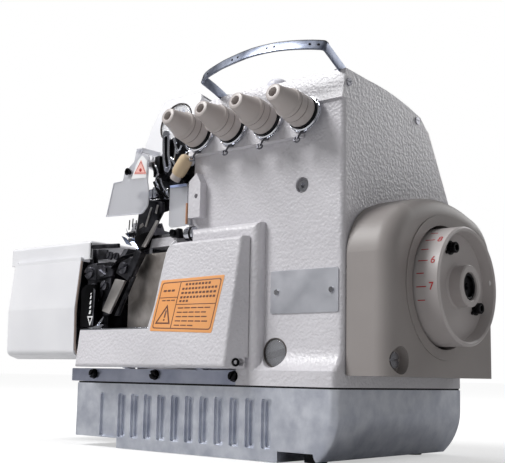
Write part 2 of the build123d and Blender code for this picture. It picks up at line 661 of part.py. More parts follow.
cover_slope = (looper_cover_high_y - looper_cover_low_y) / (looper_cover_top - looper_cover_bottom)
cover_back = rib_front - 0.8
with BuildPart() as front_cover:
    prism(facing_right(looper_cover_left),
          ((looper_cover_low_y, looper_cover_bottom), (looper_cover_high_y, looper_cover_top),
           (cover_back, looper_cover_top), (cover_back, looper_cover_bottom)),
          looper_cover_back_right - looper_cover_left)
    # the right end is bevelled back to the rib
    prism(level(looper_cover_bottom - 1),
          ((looper_cover_right, looper_cover_low_y - 0.1), (looper_cover_back_right, cover_back),
           (looper_cover_back_right + 5, cover_back), (looper_cover_back_right + 5, looper_cover_low_y - 5),
           (looper_cover_right, looper_cover_low_y - 5)),
          looper_cover_top - looper_cover_bottom + 2, mode=Mode.SUBTRACT)
    front_face = front_cover.faces().sort_by(Axis.Y)[0]
    fillet(front_face.edges(), radius=3)
    inset = looper_cover_wall
    prism(facing_right(looper_cover_left + inset),
          ((looper_cover_low_y + inset + 0.4, looper_cover_bottom + inset),
           (looper_cover_high_y + inset, looper_cover_top - inset), (cover_back + 1, looper_cover_top - inset),
           (cover_back + 1, looper_cover_bottom + inset)),
          looper_cover_right - looper_cover_left - 2 * inset, mode=Mode.SUBTRACT)
    # opening over the loopers and knives
    prism(facing_front(cover_back + 5), ((looper_cover_left - 5, 104), (-35, 104), (-30, 118), (-23, 170),
                                         (-16, 178), (-8, looper_cover_top + 5),
                                         (looper_cover_left - 5, looper_cover_top + 5)), 40, mode=Mode.SUBTRACT)
    # the floor of the cover ends in front of the hinge; its end wall clears the rib as it folds
    block(level(looper_cover_bottom - 1), ((looper_cover_left + looper_cover_right) / 2 - 2, looper_hinge_y + 1),
          (looper_cover_right - looper_cover_left - 3, 13), 12, mode=Mode.SUBTRACT)
    block(level(looper_cover_bottom - 1), (looper_cover_right, cover_back + 1), (30, 7), 10, mode=Mode.SUBTRACT)
    # knuckles on the hinge rod
    for knuckle_x in knuckle_spots:
        prism(facing_right(knuckle_x), ((looper_cover_low_y + 2.5, 72), (looper_hinge_y, looper_hinge_z - sleeve_radius),
                                        (looper_hinge_y, looper_hinge_z + sleeve_radius),
                                        (looper_cover_low_y + 3, 86)), sleeve_length)
        bar(facing_right(knuckle_x).shift_origin((knuckle_x, looper_hinge_y, looper_hinge_z)), sleeve_radius,
            sleeve_length)
    bar(facing_right(looper_cover_left + 5).shift_origin((looper_cover_left + 5, looper_hinge_y, looper_hinge_z)),
        hinge_rod_radius + loose_fit, looper_cover_back_right - looper_cover_left, mode=Mode.SUBTRACT)
finish(front_cover, "front_cover")

# ---------------------------------------------------------------- cloth plate, its pin and its latch
slab_bottom = 172.0
slab_right = -134.0
slab_front = -99.0
cloth_back = 70.0
with BuildPart() as cloth_plate:
    with BuildSketch(facing_right(cloth_left)) as panel:
        with BuildLine():
            FilletPolyline((-102.5, slab_bottom + 2), (-102.5, 171), (-107.5, 126), (-106.5, 82), (-93, 78),
                           radius=(1, 12, 7))
            Polyline((-93, 78), (-93, 81), (-103.5, 84.5), (-104.5, 126), (-99.5, 170),
                     (-99.5, slab_bottom + 2))
            Line((-99.5, slab_bottom + 2), (-102.5, slab_bottom + 2))
        make_face()
    extrude(panel.sketch, amount=cloth_right - cloth_left)
    prism(facing_right(cloth_left), ((-102.5, 171), (-107, 126), (-106, 85), (-93, 78), (cloth_back, 130),
                                     (cloth_back, slab_bottom + 2), (-102.5, slab_bottom + 2)), cloth_wall)
    slab_centre = ((slab_left + slab_right) / 2, (slab_front + cloth_back) / 2)
    block(level(slab_bottom), slab_centre, (slab_right - slab_left, cloth_back - slab_front),
          plate_top - slab_bottom, corner=3)
    slab_rim = cloth_plate.faces().sort_by(Axis.Z)[-1].edges()
    fillet(slab_rim, radius=3)
    block(level(slab_bottom - 1), slab_centre,
          (slab_right - slab_left - 2 * cloth_wall, cloth_back - slab_front - 2 * cloth_wall),
          plate_top - slab_bottom - cloth_wall + 1, mode=Mode.SUBTRACT)
    prism(facing_right(cloth_left), ((-101, 175), (-101, 168), (cloth_back, 168), (cloth_back, 175)), cloth_wall)
    # barrel that turns on the pin
    pin_plane = Plane(origin=(cloth_pin_x, cloth_pin_y, 120))
    block(level(124), (cloth_pin_x - 3, cloth_pin_y), (10, 9), plate_top - 1 - 124)
    bar(pin_plane, cloth_pin_radius + fit, 63, mode=Mode.SUBTRACT)
finish(cloth_plate, "cloth_plate")

with BuildPart() as cloth_plate_pin:
    bar(pin_plane.offset(-8), cloth_pin_radius, 68)
    block(level(112), ((cloth_pin_x + bed_left) / 2 - 2, cloth_pin_y), (bed_left - cloth_pin_x + 12, 9), 10, corner=2)
finish(cloth_plate_pin, "cloth_plate_pin")

with BuildPart() as latch_lever:
    prism(facing_front(-100.8), ((-137.9, 107.5), (-119.1, 107.5), (-117.5, 143), (-121, 147), (-132, 147),
                                 (-137.9, 143)), 3.2)
    bar(Plane(origin=(-137.9, -100.2, 111), z_dir=(1, 0, 0)), 2.6, 18.8)
    bar(Plane(origin=(-139, -100.2, 111), z_dir=(1, 0, 0)), 1.2 + fit, 21, mode=Mode.SUBTRACT)
finish(latch_lever, "latch_lever")

# ---------------------------------------------------------------- looper housing, knives and guards
with BuildPart() as looper_guard:
    prism(facing_right(-139.0), ((-95, 168), (bed_front, 168), (bed_front, 104), (-95, 104)), 30)
    block(facing_front(-93), (-121, 158), (33, 17), 4.5, corner=2)
    bar(facing_front(-94).shift_origin((-131, -94, 141)), 6.5, 5.5)
    bar(facing_front(-94).shift_origin((-117, -94, 139)), 4, 5)
    prism(facing_right(-110.0), ((-88, 167), (-78, 182), (bed_front, 182), (bed_front, 130), (-84, 130),
                                 (-91, 150)), 6.5)
    # lugs and pin that carry the latch lever
    for lug_left in (-139.5, -118.6):
        block(facing_right(lug_left), (-97.8, 111), (8.4, 5), 1.1)
    bar(Plane(origin=(-139.0, -100.2, 111), z_dir=(1, 0, 0)), 1.2, 21)
finish(looper_guard, "looper_guard")

with BuildPart() as chip_guard:
    with BuildSketch(level(104)) as sheet:
        with BuildLine() as bend:
            ThreePointArc((-89, -89), (-60, -94.5), (rib_left - 1.5, -96))
            offset(amount=1.2, side=Side.LEFT)
        make_face()
    extrude(sheet.sketch, amount=68)
finish(chip_guard, "chip_guard")

upper_knife_pivot = Vector(-97, -71, 176)
knife_low = Vector(-97, -108, 121)
knife_direction = (knife_low - upper_knife_pivot).normalized()
knife_plane = Plane(origin=upper_knife_pivot, x_dir=(1, 0, 0), z_dir=Vector(1, 0, 0).cross(knife_direction))
with BuildPart() as upper_knife_arm:
    block(knife_plane.offset(-2), (0, 10), (11, 36), 7, corner=1.5)
    bar(facing_right(-102.5).shift_origin(upper_knife_pivot + Vector(-5.5, 0, 0)), 6.5, 11)
    bar(facing_right(-103).shift_origin(upper_knife_pivot + Vector(-6, 0, 0)), 3 + fit, 13, mode=Mode.SUBTRACT)
    bar(knife_plane.offset(5).shift_origin(knife_plane.offset(5).from_local_coords((0, 24, 0))), 4.5, 2.5)
finish(upper_knife_arm, "upper_knife_arm")

with BuildPart() as upper_knife:
    block(knife_plane.offset(-4), (0, 40), (9.5, 50), 1.9)
finish(upper_knife, "upper_knife")

with BuildPart() as lower_knife:
    block(facing_right(-90.9), (-72, 170), (10, 30), 2.2)
    block(facing_right(-88.7), (-68, 160), (20, 8), 3)
finish(lower_knife, "lower_knife")

with BuildPart() as finger_guard:
    block(facing_front(-92), (-23.5, 213), (22, 38), 1.6, corner=3)
    block(facing_right(-13.1), (-90, 210), (5, 30), 1.6)
finish(finger_guard, "finger_guard")

eye_hinge = (-73.6, -106.0, 246.9)
with BuildPart() as eye_guard:
    prism(facing_front(-107), ((-101, 208), (-53, 207), (-50, 227), (-48, 242), (-46, 262), (-64, 262),
                               (-78, 250), (-84, 237), (-94, 233)), 1.8)
    bar(facing_front(-106.9).shift_origin((eye_hinge[0], -106.9, eye_hinge[2])), 4.6 + fit, 3, mode=Mode.SUBTRACT)
finish(eye_guard, "eye_guard")

with BuildPart() as eye_guard_bracket:
    bar(facing_front(-104).shift_origin((eye_hinge[0], -104, eye_hinge[2])), 4.6, 7)
    bar(facing_front(-104).shift_origin((eye_hinge[0], -104, eye_hinge[2])), 2.6, 8, mode=Mode.SUBTRACT)
    prism(facing_front(-100), ((-78, 242), (-69, 242), (-64, 268), (-72, 268)), 4.6)
    block(facing_front(-80), (-68, 266), (8, 7), 20.5)
finish(eye_guard_bracket, "eye_guard_bracket")

# ---------------------------------------------------------------- stitch plate, feed and needle bar
needle_hole_y = needle_y - 34 * tan(radians(needle_lean))
with BuildPart() as needle_plate:
    block(level(bed_top), (-61, -50), (60, 84), plate_top - bed_top - 1, corner=3)
    with BuildSketch(level(bed_top - 1)) as slots:
        for row_x in feed_rows:
            with Locations((row_x, needle_hole_y + 4)):
                Rectangle(6, 27)
        with Locations((needle_x, needle_hole_y - 2)):
            Rectangle(8.5, 9)
    extrude(slots.sketch, amount=8, mode=Mode.SUBTRACT)
finish(needle_plate, "needle_plate")

with BuildPart() as feed_dogs:
    for row_x in feed_rows:
        block(level(bed_top - 12), (row_x, needle_hole_y + 4), (4, 19), 14.4)
    block(level(bed_top - 16), (needle_x + 1, needle_hole_y + 9), (18, 8), 5)
finish(feed_dogs, "feed_dogs")

lean = radians(needle_lean)
bar_up = Vector(0, sin(lean), cos(lean))
bar_foot = Vector(needle_x, needle_y, needle_bar_bottom)
bar_plane = Plane(origin=bar_foot, x_dir=(1, 0, 0), z_dir=bar_up)
with BuildPart() as needle_bar:
    bar(bar_plane, needle_bar_radius, needle_bar_length)
finish(needle_bar, "needle_bar")

with BuildPart() as needle_bar_bush:
    pipe(bar_plane.offset(34), needle_bar_radius + 3, needle_bar_radius + fit, 16)
    block(bar_plane.offset(34), (9.5, 5), (10, 14), 16, corner=2)
    bar(bar_plane.offset(33), needle_bar_radius + fit, 18, mode=Mode.SUBTRACT)
finish(needle_bar_bush, "needle_bar_bush")

with BuildPart() as needle_clamp:
    block(bar_plane.offset(-8), (0, 0), (13, 9), 8, corner=1.5)
    bar(Plane(origin=bar_foot + bar_up * -4 + Vector(6, 0, 0), z_dir=(1, 0, 0)), 2.2, 2.5)
finish(needle_clamp, "needle_clamp")

needle_length = 26.0
with BuildPart() as needles:
    for shift in (-2.5, 2.5):
        needle_plane = bar_plane.offset(-8).shift_origin(bar_plane.offset(-8).from_local_coords((shift, 0, 0)))
        bar(needle_plane, 0.9, -10)
        bar(needle_plane.offset(-10), 0.6, -needle_length + 10)
finish(needles, "needles")

take_up_pivot = (-48.0, 254.0)
with BuildPart() as take_up_lever:
    prism(facing_front(-84.5), ((-55, 285), (-48.5, 285), (-44, 250), (-36, 238), (-40, 235), (-52, 248)), 2.2)
    pipe(facing_front(-76).shift_origin((take_up_pivot[0], -76, take_up_pivot[1])), 5.5, 2.5 + fit, 9)
    bar(facing_front(-76).shift_origin((take_up_pivot[0], -76, take_up_pivot[1])), 2.5 + fit, 8.5,
        mode=Mode.SUBTRACT)
finish(take_up_lever, "take_up_lever")

with BuildPart() as take_up_pin:
    bar(facing_front(-60).shift_origin((take_up_pivot[0], -60, take_up_pivot[1])), 2.5, 24)
finish(take_up_pin, "take_up_pin")

# ---------------------------------------------------------------- presser and its levers
presser_pivot = Vector(-52, -30, 236)
with BuildPart() as presser_arm:
    prism(facing_right(-66), ((-88, 205), (-92, 222), (-60, 244), (-24, 243), (-24, 230), (-58, 228), (-76, 212),
                              (-78, 198), (-86, 198)), 11)
    bar(Plane(origin=(-67, presser_pivot.Y, presser_pivot.Z), z_dir=(1, 0, 0)), 8.5, 22)
    bar(Plane(origin=(-77, presser_pivot.Y, presser_pivot.Z), z_dir=(1, 0, 0)), 3.5 + fit, 32, mode=Mode.SUBTRACT)
finish(presser_arm, "presser_arm")

with BuildPart() as presser_pin:
    bar(Plane(origin=(-78, presser_pivot.Y, presser_pivot.Z), z_dir=(1, 0, 0)), 3.5, 66)
finish(presser_pin, "presser_pin")

with BuildPart() as presser_foot:
    prism(facing_right(-89), ((-92, 190.3), (-96, 193), (-89, 196), (-86, 204), (-78, 204), (-74, 196),
                              (-30, 193), (-26, 190.3)), 29)
    block(level(189), (needle_x, needle_hole_y + 2), (10, 20), 20, mode=Mode.SUBTRACT)
finish(presser_foot, "presser_foot")

lift_pivot = Vector(-20, 60, 222)
with BuildPart() as lift_lever:
    bar(Plane(origin=(-36, lift_pivot.Y, lift_pivot.Z), z_dir=(1, 0, 0)), 7, 12)
    prism(facing_right(-34), ((56, 217), (64, 227), (97, 198), (95, 150), (88, 150), (90, 194)), 8)
    bar(Plane(origin=(-37, lift_pivot.Y, lift_pivot.Z), z_dir=(1, 0, 0)), 3 + fit, 14, mode=Mode.SUBTRACT)
finish(lift_lever, "lift_lever")

with BuildPart() as lift_pin:
    bar(Plane(origin=(-38, lift_pivot.Y, lift_pivot.Z), z_dir=(1, 0, 0)), 3, 38 + frame_left + 1)
finish(lift_pin, "lift_pin")

grip_low = Vector(-22.5, -98, 236)
grip_high = Vector(-9.5, -98, 250.5)
grip_pivot = (-20.0, 239.0)
with BuildPart() as release_lever:
    bar(ray_plane(grip_low + (grip_high - grip_low) * 0.1, grip_high), 3.2, 12)
    bar(facing_front(-84).shift_origin((grip_pivot[0], -84, grip_pivot[1])), 3.4, 13)
    bar(facing_front(-76).shift_origin((grip_pivot[0], -76, grip_pivot[1])), 5, 9)
    bar(facing_front(-75).shift_origin((grip_pivot[0], -75, grip_pivot[1])), 2 + fit, 9, mode=Mode.SUBTRACT)
finish(release_lever, "release_lever")

with BuildPart() as release_grip:
    bar(ray_plane(grip_low, grip_high), 6.5, 20)
    fillet(release_grip.edges().filter_by(GeomType.CIRCLE), radius=4)
finish(release_grip, "release_grip")

with BuildPart() as release_pin:
    bar(facing_front(-62).shift_origin((grip_pivot[0], -62, grip_pivot[1])), 2, 21)
    block(facing_front(-62), ((grip_pivot[0] + frame_left) / 2, grip_pivot[1]), (frame_left - grip_pivot[0] + 4, 8), 8)
finish(release_pin, "release_pin")

# ---------------------------------------------------------------- loopers
upper_looper_pivot = (-57.0, 150.0)
lower_looper_pivot = (-61.0, 126.0)
pin_radius = 3.0
with BuildPart() as upper_looper:
    prism(facing_front(-79.5), ((-84, 167), (-79, 171), (-63, 165), (-53, 152), (-60, 148), (-67, 159)), 2.5)
    bar(facing_front(-74).shift_origin((upper_looper_pivot[0], -74, upper_looper_pivot[1])), 6, 8)
    bar(facing_front(-73).shift_origin((upper_looper_pivot[0], -73, upper_looper_pivot[1])), pin_radius + fit, 10,
        mode=Mode.SUBTRACT)
finish(upper_looper, "upper_looper")

with BuildPart() as lower_looper:
    prism(facing_front(-84.5), ((-87, 160), (-82, 162), (-64, 142), (-56, 128), (-64, 124), (-70, 138)), 2.5)
    bar(facing_front(-76).shift_origin((lower_looper_pivot[0], -76, lower_looper_pivot[1])), 6, 11)
    bar(facing_front(-75).shift_origin((lower_looper_pivot[0], -75, lower_looper_pivot[1])), pin_radius + fit, 13,
        mode=Mode.SUBTRACT)
finish(lower_looper, "lower_looper")

with BuildPart() as rocking_pins:
    for pivot_x, pivot_z in (upper_looper_pivot, lower_looper_pivot):
        bar(facing_front(bed_front + 3).shift_origin((pivot_x, bed_front + 3, pivot_z)), pin_radius, 29)
    bar(facing_right(-109).shift_origin(upper_knife_pivot + Vector(-12, 0, 0)), pin_radius, 17.5)
finish(rocking_pins, "rocking_pins")

# ---------------------------------------------------------------- stitch-length push button
with BuildPart() as stitch_button:
    button_plane = facing_right(rib_left - gap - button_travel)
    button_plane = button_plane.shift_origin((rib_left - gap - button_travel, button_spot[0], button_spot[1]))
    bar(button_plane, 5.0, -12)
    bar(button_plane, 3.0, 12)
finish(stitch_button, "stitch_button")

# ---------------------------------------------------------------- seats and files
seat("top_cover", "top_cover_screws", "tension_studs", "guide_bar_screws", "thread_guide_bar")
seat("thread_guide_bar", "guide_bar_screws")
seat("main_frame", "cloth_plate_pin", "rail_screws", "hinge_rod", "presser_pin", "take_up_pin", "lift_pin",
     "tension_studs", "needle_bar_bush", "rocking_pins", "column_screw", "release_pin", "top_cover_screws",
     "shaft_bushes", "looper_guard")
seat("head_cover", "main_frame", "eye_guard_bracket", "needle_bar_bush", "top_cover")
seat("hinge_rail", "hinge_rod")
seat("motor_cover", "motor_cover_screws")
seat("presser_foot", "presser_arm")
seat("release_grip", "release_lever")
seat("looper_guard", "rocking_pins")



def gather(group, *members):
    """Join alike small pieces in one node, as separate solids."""
    with BuildPart() as together:
        for member in members:
            add(pieces.pop(member).part)
    pieces[group] = together


gather("pivot_pins", "presser_pin", "take_up_pin", "lift_pin", "release_pin", "rocking_pins")
gather("cover_screws", "top_cover_screws", "guide_bar_screws", "motor_cover_screws", "column_screw")
gather("wheel_screws", "handwheel_screws", "shaft_screw")

for name, piece in pieces.items():
    piece.part.label = name
    export_step(piece.part, f"parts/{name}.step")
    if not piece.part.is_valid:
        print("not valid:", name)
print(len(pieces), "pieces")
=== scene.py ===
import json
from math import cos, pi, radians, sin

import bmesh
import bpy
from mathutils import Matrix, Vector


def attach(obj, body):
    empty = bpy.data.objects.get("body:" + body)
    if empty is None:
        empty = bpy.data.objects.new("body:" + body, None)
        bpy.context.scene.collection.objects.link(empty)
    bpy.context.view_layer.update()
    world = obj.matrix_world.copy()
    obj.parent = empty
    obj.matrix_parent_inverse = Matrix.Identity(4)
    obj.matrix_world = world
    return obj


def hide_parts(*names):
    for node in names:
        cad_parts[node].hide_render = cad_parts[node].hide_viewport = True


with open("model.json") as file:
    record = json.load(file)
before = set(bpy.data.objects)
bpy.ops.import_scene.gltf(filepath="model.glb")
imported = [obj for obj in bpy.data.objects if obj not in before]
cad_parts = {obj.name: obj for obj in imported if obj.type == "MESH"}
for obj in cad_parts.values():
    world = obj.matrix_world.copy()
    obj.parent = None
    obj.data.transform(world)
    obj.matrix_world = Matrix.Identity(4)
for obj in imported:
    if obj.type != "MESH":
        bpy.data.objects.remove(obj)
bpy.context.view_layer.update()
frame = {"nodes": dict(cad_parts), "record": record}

MM = 0.001
nodes = frame["nodes"]


# ---------------------------------------------------------------- materials
def linear(hex_colour):
    """An sRGB hex colour as linear RGBA."""
    values = [int(hex_colour[i:i + 2], 16) / 255 for i in (1, 3, 5)]
    return [v / 12.92 if v <= 0.04045 else ((v + 0.055) / 1.055) ** 2.4 for v in values] + [1.0]


def add(tree, kind, sockets, **settings):
    """Add a node with its settings; a socket given an output is linked, any other value is set."""
    made = tree.nodes.new(kind)
    for name, value in settings.items():
        setattr(made, name, value)
    for name, value in sockets.items():
        if isinstance(value, bpy.types.NodeSocket):
            tree.links.new(value, made.inputs[name])
        else:
            made.inputs[name].default_value = value
    return made


def blank(name):
    """A new material's tree with its output and its object coordinates."""
    made = bpy.data.materials.new(name)
    made.use_nodes = True
    tree = made.node_tree
    tree.nodes.clear()
    output = tree.nodes.new("ShaderNodeOutputMaterial")
    place = tree.nodes.new("ShaderNodeTexCoord").outputs["Object"]
    return made, tree, output, place


def surface(tree, output, sockets):
    """Close a tree with its one Principled shader."""
    shader = add(tree, "ShaderNodeBsdfPrincipled", sockets)
    tree.links.new(shader.outputs["BSDF"], output.inputs["Surface"])
    return shader


def hammer_enamel(name, light, shade, pebble_mm=2.6, depth_mm=0.16, roughness=0.34):
    """Stove enamel sprayed to a hammer finish: soft glossy pebbles a few millimetres wide."""
    made, tree, output, place = blank(name)
    warp = add(tree, "ShaderNodeTexNoise", {"Vector": place, "Scale": 1 / (pebble_mm * 2.5 * MM),
                                            "Detail": 2.0})
    bent = add(tree, "ShaderNodeMixRGB", {"Fac": 0.0022, "Color1": place, "Color2": warp.outputs["Color"]},
               blend_type="ADD")
    pebbles = add(tree, "ShaderNodeTexVoronoi", {"Vector": bent.outputs["Color"],
                                                 "Scale": 1 / (pebble_mm * MM), "Smoothness": 0.8},
                  feature="SMOOTH_F1")
    ripple = add(tree, "ShaderNodeTexNoise", {"Vector": place, "Scale": 1 / (pebble_mm * 0.8 * MM),
                                              "Detail": 3.0, "Roughness": 0.6})
    height = add(tree, "ShaderNodeMath", {0: pebbles.outputs["Distance"], 1: ripple.outputs["Fac"]},
                 operation="ADD")
    relief = add(tree, "ShaderNodeBump", {"Strength": 1.0, "Distance": depth_mm * MM,
                                          "Height": height.outputs[0]})
    cloud = add(tree, "ShaderNodeTexNoise", {"Vector": place, "Scale": 14.0, "Detail": 2.0})
    patches = add(tree, "ShaderNodeMapRange", {"Value": cloud.outputs["Fac"], "From Min": 0.3,
                                               "From Max": 0.7})
    tone = add(tree, "ShaderNodeMixRGB", {"Fac": patches.outputs["Result"], "Color1": linear(shade),
                                          "Color2": linear(light)})
    gloss = add(tree, "ShaderNodeMapRange", {"Value": ripple.outputs["Fac"], "To Min": roughness - 0.06,
                                             "To Max": roughness + 0.08})
    surface(tree, output, {"Base Color": tone.outputs["Color"], "Roughness": gloss.outputs["Result"],
                           "Coat Weight": 0.25, "Coat Roughness": 0.2, "Normal": relief.outputs["Normal"]})
    return made


def smooth_enamel(name, light, shade, roughness=0.3, grain_mm=1.4, depth_mm=0.012, coat=0.2):
    """Sprayed enamel or a moulded skin: almost smooth, with a faint orange peel."""
    made, tree, output, place = blank(name)
    peel = add(tree, "ShaderNodeTexNoise", {"Vector": place, "Scale": 1 / (grain_mm * MM), "Detail": 3.0})
    relief = add(tree, "ShaderNodeBump", {"Strength": 1.0, "Distance": depth_mm * MM,
                                          "Height": peel.outputs["Fac"]})
    cloud = add(tree, "ShaderNodeTexNoise", {"Vector": place, "Scale": 18.0, "Detail": 2.0})
    patches = add(tree, "ShaderNodeMapRange", {"Value": cloud.outputs["Fac"], "From Min": 0.3,
                                               "From Max": 0.7})
    tone = add(tree, "ShaderNodeMixRGB", {"Fac": patches.outputs["Result"], "Color1": linear(shade),
                                          "Color2": linear(light)})
    gloss = add(tree, "ShaderNodeMapRange", {"Value": peel.outputs["Fac"], "To Min": roughness - 0.04,
                                             "To Max": roughness + 0.05})
    surface(tree, output, {"Base Color": tone.outputs["Color"], "Roughness": gloss.outputs["Result"],
                           "Coat Weight": coat, "Coat Roughness": 0.25, "Normal": relief.outputs["Normal"]})
    return made


def bare_metal(name, light, shade, roughness=0.25, grain_mm=(0.4, 0.4, 0.4), depth_mm=0.01, spot_mm=30.0):
    """Bare or plated metal: fine working marks, with slow changes of tone and gloss."""
    made, tree, output, place = blank(name)
    scaled = add(tree, "ShaderNodeMapping", {"Vector": place,
                                             "Scale": tuple(1 / (side * MM) for side in grain_mm)})
    marks = add(tree, "ShaderNodeTexNoise", {"Vector": scaled.outputs["Vector"], "Scale": 1.0, "Detail": 3.0})
    relief = add(tree, "ShaderNodeBump", {"Strength": 1.0, "Distance": depth_mm * MM,
                                          "Height": marks.outputs["Fac"]})
    cloud = add(tree, "ShaderNodeTexNoise", {"Vector": place, "Scale": 1 / (spot_mm * MM), "Detail": 4.0,
                                             "Roughness": 0.55})
    patches = add(tree, "ShaderNodeMapRange", {"Value": cloud.outputs["Fac"], "From Min": 0.35,
                                               "From Max": 0.65})
    tone = add(tree, "ShaderNodeMixRGB", {"Fac": patches.outputs["Result"], "Color1": linear(shade),
                                          "Color2": linear(light)})
    gloss = add(tree, "ShaderNodeMapRange", {"Value": cloud.outputs["Fac"], "To Min": roughness * 0.75,
                                             "To Max": roughness * 1.3})
    surface(tree, output, {"Base Color": tone.outputs["Color"], "Metallic": 1.0,
                           "Roughness": gloss.outputs["Result"], "Normal": relief.outputs["Normal"]})
    return made


def clear_moulding(name, tint, roughness=0.05, solid=0.3):
    """Clear moulded plastic, faintly hazy with handling."""
    made, tree, output, place = blank(name)
    haze = add(tree, "ShaderNodeTexNoise", {"Vector": place, "Scale": 60.0, "Detail": 3.0})
    gloss = add(tree, "ShaderNodeMapRange", {"Value": haze.outputs["Fac"], "To Min": roughness,
                                             "To Max": roughness + 0.1})
    surface(tree, output, {"Base Color": linear(tint), "IOR": 1.49, "Roughness": gloss.outputs["Result"],
                           "Transmission Weight": 0.6, "Alpha": solid})
    return made


